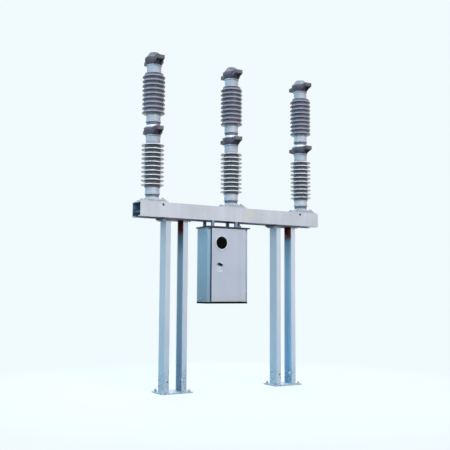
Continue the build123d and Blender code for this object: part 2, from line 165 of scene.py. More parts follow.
class BreakerColours(bpy.types.PropertyGroup):
    """Colours of the finishes."""

    steel: colour("Steel", "Weathered galvanised steel of the frame", 194, 196, 203)
    paint: colour("Door paint", "Satin paint of the cabinet door", 182, 187, 199)
    # Partly a cooler paint, partly painted shade: the body is bluer and darker than the door, as its shaded
    # sides look.
    body: colour("Cabinet paint", "Cooler satin paint of the cabinet's body", 137, 170, 191)
    roof: colour("Roof paint", "Dark paint of the cabinet roof and base rail", 30, 40, 54)
    collar: colour("Collars", "Painted collars that hold the porcelain", 180, 187, 198)
    # Painted shade of the recessed bands under the collars.
    band: colour("Bands", "Dark bands under the collars", 96, 98, 112)
    # Partly real primer, partly painted blue shade of the sky on the legs and the steel below their tops.
    primer_and_shade_blue: colour("Primer", "Pale blue primer that shows through on the legs", 158, 198, 224)
    lining: colour("Lining", "Paler primer inside the legs", 194, 214, 226)
    # Painted shade inside the beam, on the hangers and, darker, in the leg tops; real tarnish in the specks
    # near the feet.
    tarnish_and_shade: colour("Tarnish", "Blue-green tarnish inside the beam and near the feet", 66, 112, 142)
    glaze: colour("Glaze", "Purple-grey glaze of the porcelain", 77, 75, 88)
    dust: colour("Dust", "Pale dust on the rims of the upper sheds", 158, 157, 172)
    # Painted highlight: the near-white rims of the lower sheds stand in for the sheen of their glaze.
    lower_rim_sheen: colour("Pale dust", "Paler dust on the rims of the lower sheds", 244, 244, 250)
    # Partly weathered casting, partly painted shade: darker than the metal, as the heads look from below.
    casting: colour("Terminals", "Weathered castings of the terminals", 90, 85, 97)
    bright: colour("Bright metal", "Machined and worn light metal", 196, 201, 211)
    rust: colour("Rust", "Rust in the channels and on fasteners", 157, 61, 29)
    soil: colour("Soil", "Dried mud near the ground", 150, 144, 134)
    stain: colour("Stain", "Yellowish stain on the beam", 200, 198, 176)
    drive: colour("Drive", "Dark paint of the crank housings and rods", 58, 64, 76)
    mechanism: colour("Mechanism", "Grey-green paint of the mechanism", 108, 118, 120)
    rubber: colour("Rubber", "Gasket and lever", 14, 15, 18)
    glass: colour("Glass", "Dark tinted window", 6, 7, 8)


class BreakerSizes(bpy.types.PropertyGroup):
    """Sizes of what the frame leaves plain."""

    beam_web: length("Beam web", "Web thickness of the beam channels", 0.008)
    beam_flange: length("Beam flange", "Flange thickness of the beam channels", 0.010)
    leg_web: length("Leg web", "Web thickness of the leg channels", 0.0085)
    leg_flange: length("Leg flange", "Flange thickness of the leg channels", 0.010)
    leg_flange_width: length("Leg flange width", "Flange width of the leg channels", 0.065)
    root_rounding: length("Root rounding", "Rounding between web and flanges of a channel", 0.010)
    toe_rounding: length("Toe rounding", "Rounding at the toes of a channel", 0.005)
    edge_rounding: length("Edge rounding", "Rounding of plate and casting edges", 0.0015)
    lifting_hole: length("Lifting hole", "Radius of the lifting holes of the beam", 0.014)
    earth_hole: length("Earth hole", "Radius of the earthing holes near the feet", 0.014)
    support_core: length("Support core", "Radius of a support insulator between its sheds", 0.098)
    support_fall: length("Support fall", "Fall of the top of a support shed to its rim", 0.016)
    interrupter_core: length("Interrupter core", "Radius of an interrupter between its sheds", 0.120)
    interrupter_fall: length("Interrupter fall", "Fall of the top of an interrupter shed to its rim", 0.036)
    shed_rim: length("Shed rim", "Height of the rim of a shed", 0.013)
    shed_lift: length("Shed lift", "How far the underside of a shed rises to the core", 0.005)
    collar: length("Collar", "Radius of the collars", 0.087)
    lip: length("Lip", "Radius of the lips of the collars", 0.092)
    lip_height: length("Lip height", "Height of the lips of the collars", 0.016)
    joint_flange: length("Joint flange", "Radius of the flange on the lower terminal", 0.095)
    joint_flange_height: length("Joint flange height", "Height of that flange", 0.032)
    joint_neck: length("Joint neck", "Radius of the neck above that flange", 0.082)
    joint_neck_height: length("Joint neck height", "Height of that neck", 0.036)
    terminal_height: length("Terminal height", "Height of a terminal without its cap", 0.087)
    base_flange: length("Base flange", "Thickness of the square flange of a pole base", 0.024)
    base_band: length("Base band", "Height of the dark band at the top of a pole base", 0.030)
    cap_shade: length("Cap shade", "How far the dark of the terminals reaches up the caps", 0.0048)
    rail_height: length("Rail height", "Height of the dark rail under the cabinet", 0.018)
    rail_reach: length("Rail reach", "How far that rail stands out from the walls", 0.002)
    header_height: length("Header height", "Height of the strip over the door opening", 0.030)
    sheet: length("Sheet", "Thickness of the cabinet sheets", 0.004)
    gasket_width: length("Gasket width", "Width of the door gasket", 0.010)
    gasket_depth: length("Gasket depth", "Depth of the door gasket", 0.005)
    door_fold: length("Door fold", "Width of the folded strip at the hinged edge of the door", 0.032)
    # A dark strip on the free edge of the door that stands in for the shade there.
    door_shade_strip: length("Door seal", "Thickness of the seal on the free edge of the door", 0.0015)
    drum_offset: length("Drum offset", "Place of the spring drum right of the mechanism's middle", 0.060)
    drum_rise: length("Drum rise", "Place of the spring drum over the mechanism's lower edge", 0.100)
    hub: length("Hub", "Radius of the hub of the spring drum", 0.062)
    hub_rim: length("Hub rim", "Width of the rim of that hub", 0.012)
    hub_rim_height: length("Hub rim height", "Height of that rim", 0.005)
    hub_floor: length("Hub floor", "Height of the floor inside that rim", 0.002)
    hub_boss: length("Hub boss", "Radius of the boss in the middle of that floor", 0.022)
    hub_boss_height: length("Hub boss height", "Height of that boss", 0.011)
    hub_draft: length("Hub draft", "How far the inner side of that rim slopes inwards", 0.004)
    sector_inner: length("Sector inner", "Inner radius of the dark sectors of the indicator", 0.031)
    sector_outer: length("Sector outer", "Outer radius of those sectors", 0.051)
    mechanism_depth: length("Mechanism depth", "Depth of the mechanism without its drum", 0.110)
    cover: length("Cover", "Thickness of the covers under the crank housings", 0.006)
    base_bolt: length("Base bolt", "Width across flats of the bolts of the pole bases", 0.030)
    rim_bolt: length("Rim bolt", "Width across flats of the bolts round the terminals", 0.016)
    plate_bolt: length("Plate bolt", "Width across flats of the bolts of the leg top plates", 0.030)
    anchor_nut: length("Anchor nut", "Width across flats of the anchor nuts", 0.030)
    screw: length("Screw", "Head diameter of the cabinet screws", 0.010)
    cover_bolt: length("Cover bolt", "Width across flats of the bolts of covers", 0.013)
    earth_hole_level: length("Earth hole level", "Height of the earthing holes over the ground", 0.139)
    earth_stud_place: length("Earth stud place", "Place of the earth stud behind the middle", 0.009)
    earth_stud_level: length("Earth stud level", "Height of that stud over the walls' lower edges", 0.039)
    seal: length("Seal", "Height of the seals between porcelain and collars", 0.008)
    hanger: length("Hanger", "Side of the hanger posts", 0.034)
    rim_circle: length("Rim circle", "Radius of the bolt circle of the terminals", 0.104)
    rod_offset: length("Rod offset", "Place of the upright drive rod right of the middle", 0.116)
    rod_nut: length("Rod nut", "Width across flats of the lock nuts of the drive rods", 0.054)
    weld: length("Weld", "Radius of the weld beads of the legs", 0.004)
    support_sheds: number("Support sheds", "Sheds of a support insulator", 10)
    interrupter_sheds: number("Interrupter sheds", "Sheds of an interrupter insulator", 9)


class BreakerWear(bpy.types.PropertyGroup):
    """Where the weather and the painted shade and sheen show, as heights over the ground unless a
    description says otherwise.
    """

    # Where that blue, partly primer and partly painted shade, gets stronger on the legs.
    primer_and_shade_blue: levels("Primer", "Where the blue of the primer on the legs gets stronger", 1.3, 0.1)
    # Painted shade: dark blue-green inside the legs under their top plates.
    leg_top_shade: levels("Soot", "Where the soot inside the legs gets stronger", 1.55, 1.9)
    rust: levels("Rust", "Where the rust inside the legs gets stronger", 1.85, 1.96)
    splash: levels("Splash", "Where the mud splashed on the legs gets stronger", 0.34, 0.14)
    specks: levels("Specks", "Where the specks near the feet get stronger", 0.62, 0.3)
    # Where the cabinet colour gets darker towards the bottom.
    fade: levels("Fade", "Where the cabinet paint gets darker", 1.9, 1.1)
    dust: levels("Dust", "Where the dust on the cabinet gets stronger", 1.2, 1.07)
    stain: levels("Stain", "How far from its middle the stain on the beam gets stronger", 0.13, 0.04)
    stain_place: length("Stain place", "Place of that stain right of the beam's middle", 0.18)
    # Reach of the pale rims: dust on the upper sheds, painted sheen on the lower ones.
    rim_dust_and_sheen: levels("Rim dust", "How far from the rim of a shed its dust gets stronger", 0.007, 0.001)
    worn_height: length("Worn height", "Height of the worn band at the top of a terminal", 0.03)


class BreakerStage(bpy.types.PropertyGroup):
    """Camera, light and floor."""

    camera: position("Camera", "Where the camera stands", -4.5968, -7.6861, 1.1915)
    heading: bearing("Heading", "Turn of the view from +Y towards +X", 30.41)
    pitch: bearing("Pitch", "Rise of the view over the horizon", 5.436)
    roll: bearing("Roll", "Turn of the camera about its view", 0.328)
    lens: strength("Lens", "Focal length in millimetres", 56.53)
    key: strength("Key light", "Strength of the front light", 1.95)
    key_place: position("Key place", "Where the front light stands", 0.9, -8.2, 6.5)
    key_tint: colour("Key tint", "Tint of the front light", 255, 247, 245)
    key_spread: bearing("Key spread", "Softness of the front light", 25)
    back: strength("Back light", "Strength of the light from behind", 1.4)
    back_place: position("Back place", "Where the light from behind stands", 3.0, 8.0, 6.0)
    back_tint: colour("Back tint", "Tint of the light from behind", 249, 253, 255)
    back_spread: bearing("Back spread", "Softness of the light from behind", 40)
    sky: strength("Sky light", "Strength of the light from all round", 0.55)
    sky_tint: colour("Sky tint", "Tint of the light from all round", 243, 249, 255)
    side: strength("Side light", "Strength of the cool light from the left", 2.0)
    side_tint: colour("Side tint", "Tint of the cool light from the left", 186, 237, 255)
    backdrop: colour("Backdrop", "What shows behind the breaker", 241, 250, 253)
    bounce: colour("Bounce", "Light that the floor throws back on the breaker", 52, 60, 72)
    floor: length("Floor", "Half the side of the floor", 60.0)
    shadow: levels("Shadow", "How far from the middle the shadow on the floor fades out", 1.6, 4.0)


# Places on the frame

def middle_of(node):
    """Middle of a node's box."""
    low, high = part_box(node)
    return (low + high) / 2


def span_of(node):
    """Sides of a node's box."""
    low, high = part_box(node)
    return high - low


def pole_axis(pole):
    """Where the axis of a pole meets the ground."""
    return (middle_of(f"{pole}_pole_base").x, 0, 0)


def terminal_top(pole, part, sizes):
    """Level of the top of a terminal, without its cap."""
    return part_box(f"{pole}_{part}_terminal")[0].z + sizes.terminal_height


# Finishes

class Value:
    """A socket of a node tree, on which arithmetic adds Math nodes."""

    def __init__(self, owner, socket):
        self.owner = owner
        self.socket = socket

    def math(self, operation, *others):
        """A Math node on this value and others."""
        sockets = dict(enumerate((self, *others)))
        return self.owner.node("ShaderNodeMath", {"operation": operation}, sockets)

    def __add__(self, other):
        return self.math("ADD", other)

    def __sub__(self, other):
        return self.math("SUBTRACT", other)

    def __rsub__(self, other):
        return self.owner.node("ShaderNodeMath", {"operation": "SUBTRACT"}, {0: other, 1: self})

    def __mul__(self, other):
        return self.math("MULTIPLY", other)

    def __abs__(self):
        return self.math("ABSOLUTE")

    __radd__ = __add__
    __rmul__ = __mul__

    def rise(self, low, high):
        """0 at low and 1 at high, with a smooth step between them; low may be the larger."""
        sockets = {"Value": self, "From Min": low, "From Max": high}
        return self.owner.node("ShaderNodeMapRange", {"interpolation_type": "SMOOTHSTEP"}, sockets)

    def above(self, level, soft=HAIR):
        """1 over a level and 0 under it."""
        return self.rise(level - soft, level + soft)

    def below(self, level, soft=HAIR):
        """1 under a level and 0 over it."""
        return self.rise(level + soft, level - soft)

    def between(self, low, high, soft=HAIR):
        """1 between two levels and 0 outside them."""
        return self.above(low, soft) * self.below(high, soft)

    def diagonal(self, other):
        """Length of the line whose two legs are this value and another."""
        return (self * self + other * other).math("SQRT")


class Tree:
    """A node tree in the making, with one way to add a node to it."""

    def __init__(self, tree):
        self.tree = tree

    def put(self, socket, value):
        """Link or set one socket."""
        if isinstance(value, Value):
            self.tree.links.new(value.socket, socket)
        elif socket.type == "RGBA":
            socket.default_value = (*value, 1)
        else:
            socket.default_value = value

    def node(self, kind, settings=None, sockets=None, out=0):
        """Add a node, set what it is, then its sockets, and give one of its outputs."""
        made = self.tree.nodes.new(kind)
        for name, value in (settings or {}).items():
            setattr(made, name, value)
        for key, value in (sockets or {}).items():
            self.put(made.inputs[key], value)
        return Value(self, made.outputs[out])


class Shading(Tree):
    """A shader tree in the making."""

    def seen(self):
        """1 where the camera, gloss or glass looks, and 0 for the light itself."""
        kinds = ("Camera", "Glossy", "Transmission")
        camera, glossy, through = (self.node("ShaderNodeLightPath", out=f"Is {kind} Ray") for kind in kinds)
        return camera.math("MAXIMUM", glossy).math("MAXIMUM", through)

    def end(self, kind, shader):
        """Lead a shader to the tree's output."""
        self.put(self.tree.nodes[kind].inputs["Surface"], shader)


class Finish(Shading):
    """A material in the making, on coordinates of the object."""

    def __init__(self, name):
        self.material = bpy.data.materials.new(name)
        self.material.use_nodes = True
        super().__init__(self.material.node_tree)
        self.shader = self.tree.nodes["Principled BSDF"]
        self.place = self.node("ShaderNodeTexCoord", out="Object")

    def axis(self, name):
        """One coordinate of the place on the object."""
        return self.node("ShaderNodeSeparateXYZ", sockets={"Vector": self.place}, out=name)

    def noise(self, scale, detail, stretch=(1, 1, 1)):
        """Cloudy noise from about 0.3 to 0.7, with so many clouds to the metre, stretched by axis."""
        where = self.node("ShaderNodeMapping", sockets={"Vector": self.place, "Scale": stretch})
        return self.node("ShaderNodeTexNoise", sockets={"Vector": where, "Scale": scale, "Detail": detail})

    def grains(self, scale):
        """A grey level for each crystal of a broken surface."""
        sockets = {"Vector": self.place, "Scale": scale}
        return self.node("ShaderNodeTexVoronoi", sockets=sockets, out="Color")

    def mix(self, share, first, second):
        """One colour laid over another by a share."""
        return self.node("ShaderNodeMix", {"data_type": "RGBA"}, {0: share, 6: first, 7: second}, out=2)

    def tones(self, share, tint, first, second):
        """A colour between two tones of it, given as factors."""
        return self.mix(share, shade(tint, first), shade(tint, second))

    def layered(self, base, *layers):
        """A colour with others over it, each (share, colour)."""
        for share, tint in layers:
            base = self.mix(share, base, tint)
        return base

    def bump(self, height, distance, share):
        """Relief of the surface, with its depth in metres and how much of it shows."""
        sockets = {"Height": height, "Distance": distance, "Strength": share}
        return self.node("ShaderNodeBump", sockets=sockets)

    def surface(self, **sockets):
        """Set the shader's sockets, given with underscores for spaces, and end the material."""
        for name, value in sockets.items():
            self.put(self.shader.inputs[name.replace("_", " ").title().replace("Ior", "IOR")], value)
        return self.material


def shade(colour_value, factor):
    """A colour made lighter or darker."""
    return tuple(min(1.0, channel * factor) for channel in colour_value)


def leg_areas(finish, sizes):
    """Where a place is below the leg tops, on an inner face of a leg, and on the right leg."""
    low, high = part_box("right_leg_channels")
    x, y, z = (finish.axis(name) for name in "XYZ")
    under = z.below(high.z + PAST)
    depth = abs(y).below(high.y - sizes.leg_flange + PAST)
    across = abs(abs(x) - (low.x + high.x) / 2).below((high.x - low.x) / 2 - sizes.leg_web + PAST)
    right = x.above(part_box("right_leg_top_plate")[0].x, sizes.toe_rounding)
    return under, under * depth * across, under * right


def beam_areas(finish, sizes, wear):
    """Where a place is inside the beam, in a lifting hole, and near the stain on the front."""
    low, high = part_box("rear_beam_channel")
    hole = mounts["rear_right_lifting_hole"]["pos_m"]
    x, y, z = (finish.axis(name) for name in "XYZ")
    web, flange = sizes.beam_web, sizes.beam_flange
    inside = abs(y).below(high.y - web + PAST) * z.between(low.z + flange - PAST, high.z - flange + PAST)
    toes = abs(y).below(low.y + PAST) * z.between(low.z, high.z, 2 * HAIR)
    # Painted shade inside the lifting holes, so that they read dark.
    bore_shade = (abs(x) - hole[0]).diagonal(z - hole[2]).below(sizes.lifting_hole + PAST + HAIR, 2 * HAIR)
    front = y.below(web / 2 - high.y, web / 2) * z.above(low.z + 1.5 * flange, flange)
    return inside.math("MAXIMUM", toes), bore_shade, front * abs(x - wear.stain_place).rise(*wear.stain)


def steel_finish(colours, sizes, wear):
    """Weathered zinc with crystals, streaks, mud and rust, with painted shade in hollows and low down, and
    painted light on the right leg.
    """
    finish = Finish("weathered_zinc")
    clouds, blotch, crust = finish.noise(2.2, 4), finish.noise(5, 4), finish.noise(26, 5)
    streaks = finish.noise(9, 3, (1, 1, 0.06))
    crystals = finish.grains(70)
    z = finish.axis("Z")
    under, in_leg, right_leg = leg_areas(finish, sizes)
    in_beam, bore_shade, stain = beam_areas(finish, sizes, wear)
    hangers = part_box("cabinet_hangers")
    inner_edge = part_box("right_leg_top_plate")[0].x
    # Painted shade: the hanger posts under the beam are darkened as if in its shadow.
    hanger_shade = abs(finish.axis("X")).below(inner_edge) * z.between(hangers[0].z, hangers[1].z, 10 * HAIR)
    low_down = z.rise(*wear.primer_and_shade_blue)
    rust = in_leg * z.rise(*wear.rust) * crust.rise(0.28, 0.42)
    splash = (z + blotch * 0.25).rise(*wear.splash) * crust.rise(0.35, 0.6)
    specks = finish.noise(50, 8).rise(0.51, 0.66) * (z + blotch * 0.5).rise(*wear.specks)
    tone = clouds.rise(0.3, 0.7) * 0.45 + streaks.rise(0.3, 0.7) * 0.3 + crystals * 0.25
    base = finish.layered(
        finish.tones(tone, colours.steel, 0.84, 1.12),
        (stain * blotch.rise(0.36, 0.6) * 0.75, colours.stain),
        (in_leg * (0.6 + 0.5 * clouds), colours.lining),
        # Painted light: the right leg is made paler to make up for the shade the cabinet and the left leg
        # cast on it.
        (right_leg * 0.35, shade(colours.steel, 1.5)),
        # Painted shade: the inside of the beam and its channel toes are tinted dark blue-green where shade
        # falls.
        (in_beam * (0.7 + 0.4 * clouds), colours.tarnish_and_shade),
        # Partly primer, partly painted blue shade: steel below the leg tops is tinted blue, more towards the
        # ground.
        (under * (0.22 + 0.3 * low_down), shade(colours.primer_and_shade_blue, 0.8)),
        # Painted light: paler blue on the inner faces of the right leg.
        (in_leg * right_leg * (0.3 + 0.3 * low_down), shade(colours.primer_and_shade_blue, 1.3)),
        # Painted shade inside the leg tops under the plates, weaker on the right leg.
        (in_leg * z.rise(*wear.leg_top_shade) * (0.55 - 0.3 * right_leg), shade(colours.tarnish_and_shade, 0.5)),
        (hanger_shade * 0.75, colours.tarnish_and_shade),
        (rust, finish.tones(crust, colours.rust, 0.3, 0.9)),
        # Painted shade: the walls of the lifting holes are near black.
        (bore_shade, shade(colours.drive, 0.3)),
        (splash * 0.25, colours.soil),
        (specks, shade(colours.tarnish_and_shade, 0.8)),
    )
    rough = 0.5 + 0.2 * clouds + 0.25 * rust
    relief = finish.bump(crystals * 0.3 + crust * 0.7, 0.0012, 0.25)
    return finish.surface(base_color=base, roughness=rough, metallic=0.2 - 0.2 * rust, normal=relief)


def paint_finish(name, tint, fade, strip, strip_tint, soil, wear):
    """Satin paint with orange peel and runs of rain, darker downwards, and paler on a front strip."""
    finish = Finish(name)
    edge, front = strip
    x, y, z = (finish.axis(name) for name in "XYZ")
    clouds = finish.noise(3, 3)
    runs = finish.noise(16, 3, (1, 1, 0.04))
    dust = z.rise(*wear.dust) * clouds.rise(0.3, 0.6)
    base = finish.layered(
        finish.tones(clouds.rise(0.3, 0.7), tint, 0.95, 1.05),
        (runs.rise(0.5, 0.75) * 0.35, shade(tint, 0.84)),
        (x.above(edge, 10 * HAIR) * y.below(front, 10 * HAIR) * 0.7, strip_tint),
        # The cabinet colour gets darker towards the bottom, far more on the body than on the door.
        (z.rise(*wear.fade) * fade, shade(tint, 0.5)),
        (dust * 0.2, soil),
    )
    peel = finish.bump(finish.noise(420, 1), 0.0004, 0.2)
    rough = 0.36 + 0.16 * clouds + 0.15 * dust
    return finish.surface(base_color=base, roughness=rough, coat_weight=0.12, normal=peel)


def roof_finish(colours):
    """Dark sheet paint, dulled by dust."""
    finish = Finish("dark_roof_paint")
    dust = finish.noise(7, 4)
    base = finish.tones(dust.rise(0.45, 0.75) * 0.5, colours.roof, 1.0, 2.4)
    relief = finish.bump(dust, 0.0008, 0.2)
    return finish.surface(base_color=base, roughness=0.42 + 0.3 * dust, normal=relief)


def glaze_finish(colours, wear):
    """Purple-grey glaze, pale at the rims of the sheds: dust on the upper sheds, a painted sheen on the
    lower ones.
    """
    finish = Finish("porcelain_glaze")
    spacing = pole_axis("right")[0] - pole_axis("middle")[0]
    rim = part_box("middle_support_insulator")[1].y
    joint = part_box("middle_lower_terminal")
    across = finish.axis("X").math("WRAP", spacing / 2, -spacing / 2)
    lower = finish.axis("Z").rise(joint[1].z, joint[0].z)
    clouds = finish.noise(8, 4)
    specks = finish.noise(160, 2)
    dust = across.diagonal(finish.axis("Y")).rise(*(rim - reach for reach in wear.rim_dust_and_sheen))
    base = finish.layered(
        finish.tones(clouds.rise(0.3, 0.7), colours.glaze, 0.85, 1.15),
        # Dust on the upper rims, painted sheen on the lower rims.
        (dust * (0.6 + 0.5 * clouds), finish.mix(lower, colours.dust, colours.lower_rim_sheen)),
        (specks.rise(0.66, 0.76) * 0.35, shade(colours.glaze, 0.5)),
    )
    rough = 0.24 + 0.25 * dust + 0.12 * clouds
    relief = finish.bump(finish.noise(60, 2), 0.0006, 0.15)
    return finish.surface(base_color=base, roughness=rough, coat_weight=0.4 - 0.3 * dust, normal=relief)


def collar_finish(colours, sizes):
    """Pale grey paint on castings, in faint rings, with painted shade on recessed bands and a painted
    highlight on the joint flange.
    """
    finish = Finish("painted_casting")
    base_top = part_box("middle_pole_base")[1].z
    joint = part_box("middle_lower_terminal")[1].z
    neck = joint + sizes.joint_flange_height
    shade_and_highlight_bands = (
        # Painted shade on the band at the top of the base and on the neck above the joint flange.
        (base_top - sizes.base_band, base_top, colours.band),
        (neck, neck + sizes.joint_neck_height, colours.band),
        # Painted highlight on the joint flange.
        (joint, neck, shade(colours.bright, 1.5)),
    )
    level = finish.axis("Z")
    streaks = finish.noise(14, 3, (1, 1, 0.12))
    rings = finish.noise(34, 2, (0.02, 0.02, 1))
    grime = finish.noise(7, 4)
    tone = streaks * 0.35 + rings * 0.65
    base = finish.layered(
        finish.tones(tone.rise(0.35, 0.65), colours.collar, 0.86, 1.1),
        (grime.rise(0.5, 0.75) * 0.3, shade(colours.collar, 0.6)),
        *((level.between(low, high, 5 * HAIR), finish.tones(streaks, tint, 0.8, 1.2))
          for low, high, tint in shade_and_highlight_bands),
    )
    skin = finish.bump(finish.noise(240, 3), 0.0006, 0.2)
    return finish.surface(base_color=base, roughness=0.46 + 0.2 * grime, metallic=0.05, normal=skin)


def casting_finish(colours, sizes, wear):
    """Weathered casting painted darker as painted shade of the heads, sandy and worn pale towards its tops,
    under their grey caps.
    """
    finish = Finish("weathered_casting")
    tops = [terminal_top("middle", part, sizes) for part in TERMINALS]
    level = finish.axis("Z")
    clouds = finish.noise(11, 4)
    pits = finish.noise(190, 3)
    runs = finish.noise(22, 3, (1, 1, 0.15))
    worn = [
        level.rise(top - wear.worn_height, top) * level.below(top + 20 * HAIR, 10 * HAIR) for top in tops
    ]
    cap = level.above(tops[-1] + sizes.cap_shade, 4 * HAIR)
    base = finish.layered(
        finish.tones(clouds.rise(0.3, 0.7), colours.casting, 0.7, 1.25),
        (runs.rise(0.55, 0.72) * 0.4, shade(colours.casting, 2.0)),
        *((band * clouds.rise(0.42, 0.6) * 0.6, shade(colours.casting, 2.6)) for band in worn),
        (cap, finish.tones(clouds.rise(0.35, 0.65), colours.bright, 0.28, 0.6)),
    )
    rough = 0.5 + 0.2 * pits
    relief = finish.bump(pits, 0.0012, 0.35)
    return finish.surface(base_color=base, roughness=rough, metallic=0.2 + 0.1 * cap, normal=relief)


def bright_finish(colours):
    """Machined light metal with fine turning marks and dull spots."""
    finish = Finish("machined_metal")
    dull = finish.noise(30, 4)
    marks = finish.bump(finish.noise(300, 2, (0.05, 0.05, 1)), 0.0004, 0.2)
    base = finish.tones(dull.rise(0.35, 0.7), colours.bright, 0.82, 1.08)
    return finish.surface(base_color=base, roughness=0.3 + 0.3 * dull, metallic=0.35, normal=marks)


def fastener_finish(colours):
    """Dull zinc on bolts and nuts, with a bloom of rust."""
    finish = Finish("fastener_zinc")
    rust = finish.noise(55, 4).rise(0.58, 0.72)
    zinc = finish.tones(finish.noise(3.5, 2).rise(0.35, 0.65), colours.steel, 0.55, 0.85)
    base = finish.mix(rust * 0.6, zinc, colours.rust)
    return finish.surface(base_color=base, roughness=0.4 + 0.3 * rust, metallic=0.55 - 0.4 * rust)


def drive_finish(colours):
    """Dark enamel on the drive below the poles."""
    finish = Finish("dark_enamel")
    grime = finish.noise(13, 4)
    base = finish.tones(grime.rise(0.4, 0.7), colours.drive, 1.0, 0.5)
    relief = finish.bump(grime, 0.001, 0.2)
    return finish.surface(base_color=base, roughness=0.4 + 0.25 * grime, normal=relief)


def mechanism_finish(colours):
    """Hammered grey-green paint of the mechanism."""
    finish = Finish("hammered_paint")
    dents = finish.bump(finish.grains(160), 0.0006, 0.3)
    clouds = finish.noise(6, 3)
    base = finish.tones(clouds.rise(0.3, 0.7), colours.mechanism, 0.85, 1.15)
    return finish.surface(base_color=base, roughness=0.35 + 0.15 * clouds, normal=dents)


def indicator_finish(colours, sizes):
    """White indicator disc with a dark sector on each side."""
    finish = Finish("indicator_enamel")
    centre = middle_of("position_indicator")
    across = finish.axis("X") - centre.x
    rise = finish.axis("Z") - centre.z
    ring = across.diagonal(rise).between(sizes.sector_inner, sizes.sector_outer, 10 * HAIR)
    sector = ring * (abs(across) - abs(rise)).above(0, 10 * HAIR)
    wear = finish.noise(45, 3)
    base = finish.mix(sector, finish.tones(wear, colours.bright, 0.85, 1.1), shade(colours.drive, 0.6))
    return finish.surface(base_color=base, roughness=0.35 + 0.2 * wear)


def rubber_finish(colours):
    """Matt black rubber and plastic."""
    finish = Finish("black_rubber")
    grain = finish.noise(150, 3)
    rough = 0.6 + 0.25 * grain
    base = finish.tones(grain, colours.rubber, 0.7, 1.6)
    relief = finish.bump(grain, 0.0005, 0.3)
    return finish.surface(base_color=base, roughness=rough, specular_ior_level=0.15, normal=relief)


def glass_finish(colours):
    """Dark window pane, a little dusty."""
    finish = Finish("tinted_glass")
    dust = finish.noise(18, 4)
    base = finish.mix(dust.rise(0.55, 0.8) * 0.06, colours.glass, colours.dust)
    return finish.surface(base_color=base, roughness=0.08 + 0.1 * dust, alpha=0.97, specular_ior_level=0.03)


finishes, patterns, trees = {}, {}, {}


# Shapes

def rounded(corners, closed=False):
    """Points of an outline whose corners, each (across, up, rounding), are turned into arcs."""
    points = []
    for index, (across, up, rounding) in enumerate(corners):
        corner = Vector((across, up))
        at_end = not closed and index in (0, len(corners) - 1)
        if rounding == 0 or at_end:
            points.append(corner)
            continue
        back = (Vector(corners[index - 1][:2]) - corner).normalized()
        ahead = (Vector(corners[(index + 1) % len(corners)][:2]) - corner).normalized()
        half = back.angle(ahead) / 2
        centre = corner + (back + ahead).normalized() * (rounding / math.sin(half))
        first = corner + back * (rounding / math.tan(half)) - centre
        last = corner + ahead * (rounding / math.tan(half)) - centre
        sweep = math.atan2(first.cross(last), first.dot(last))
        for step in range(ARC_STEPS + 1):
            points.append(centre + Matrix.Rotation(sweep * step / ARC_STEPS, 2) @ first)
    return points


def stood(place, facing):
    """Matrix that moves the upright axis to a place and turns it to a facing."""
    return Matrix.Translation(place) @ Vector(facing).to_track_quat("Z", "Y").to_matrix().to_4x4()


def shape_of(mesh):
    """A shape from a mesh."""
    shape = bmesh.new()
    shape.from_mesh(mesh)
    return shape


def ring(shape, radius, level, steps):
    """New points of a shape on a level circle about the upright axis."""
    angles = [2 * math.pi * step / steps for step in range(steps)]
    return [shape.verts.new((radius * math.cos(a), radius * math.sin(a), level)) for a in angles]


def bridge(shape, rings):
    """New faces of a shape between neighbouring rings of points, where one point closes an end."""
    steps = max(map(len, rings))
    for lower, upper in zip(rings, rings[1:]):
        for step in range(steps):
            ahead = (step + 1) % steps
            face = [lower[step % len(lower)], lower[ahead % len(lower)]]
            face += [upper[ahead % len(upper)], upper[step % len(upper)]]
            shape.faces.new(list(dict.fromkeys(face)))


def capped(shape, rings):
    """A shape with faces between its rings of points and over both ends."""
    bridge(shape, rings)
    shape.faces.new(list(reversed(rings[0])))
    shape.faces.new(rings[-1])
    return shape


def laid(shape, outline, origin, across, up, lift):
    """New points of a shape on an outline drawn along two directions, lifted at right angles to them."""
    across, up = Vector(across), Vector(up)
    start = Vector(origin) + across.cross(up) * lift
    return [shape.verts.new(start + across * u + up * v) for u, v in outline]


def turned(corners, place=(0, 0, 0), facing=UP, steps=TURN_STEPS):
    """A shape turned about a line through place, from corners (radius, level along it, rounding)."""
    shape = bmesh.new()
    profile = rounded(corners)
    rings = [ring(shape, radius, level, steps if radius > SAME_POINT else 1) for radius, level in profile]
    bridge(shape, rings)
    shape.transform(stood(place, facing))
    return shape


def prism(outline, origin, across, up, depth):
    """A closed outline drawn at origin along two directions and pulled out at right angles to them."""
    shape = bmesh.new()
    return capped(shape, [laid(shape, outline, origin, across, up, lift) for lift in (0, depth)])


def framed(outer, inner, origin, across, up, depth):
    """A frame between two outlines of as many points, pulled out as a prism is."""
    shape = bmesh.new()
    rims = ((outer, 0), (outer, depth), (inner, depth), (inner, 0))
    loops = [laid(shape, outline, origin, across, up, lift) for outline, lift in rims]
    bridge(shape, [*loops, loops[0]])
    return shape


def box_outline(width, height, rounding=0.0):
    """A rectangle about its middle, with rounded corners."""
    halves = [(-1, -1), (1, -1), (1, 1), (-1, 1)]
    return rounded([(a * width / 2, b * height / 2, rounding) for a, b in halves], closed=True)


def channel_outline(flange_width, height, web, flange, root, toe):
    """A rolled channel, with its web at 0 and its toes pointing along the first direction."""
    half = height / 2
    inner = half - flange
    corners = [
        (0, -half, 0), (flange_width, -half, 0), (flange_width, -inner, toe), (web, -inner, root),
        (web, inner, root), (flange_width, inner, toe), (flange_width, half, 0), (0, half, 0),
    ]
    return rounded(corners, closed=True)


def placed(name, data):
    """A new object of the scene."""
    made = bpy.data.objects.new(name, data)
    bpy.context.scene.collection.objects.link(made)
    return made


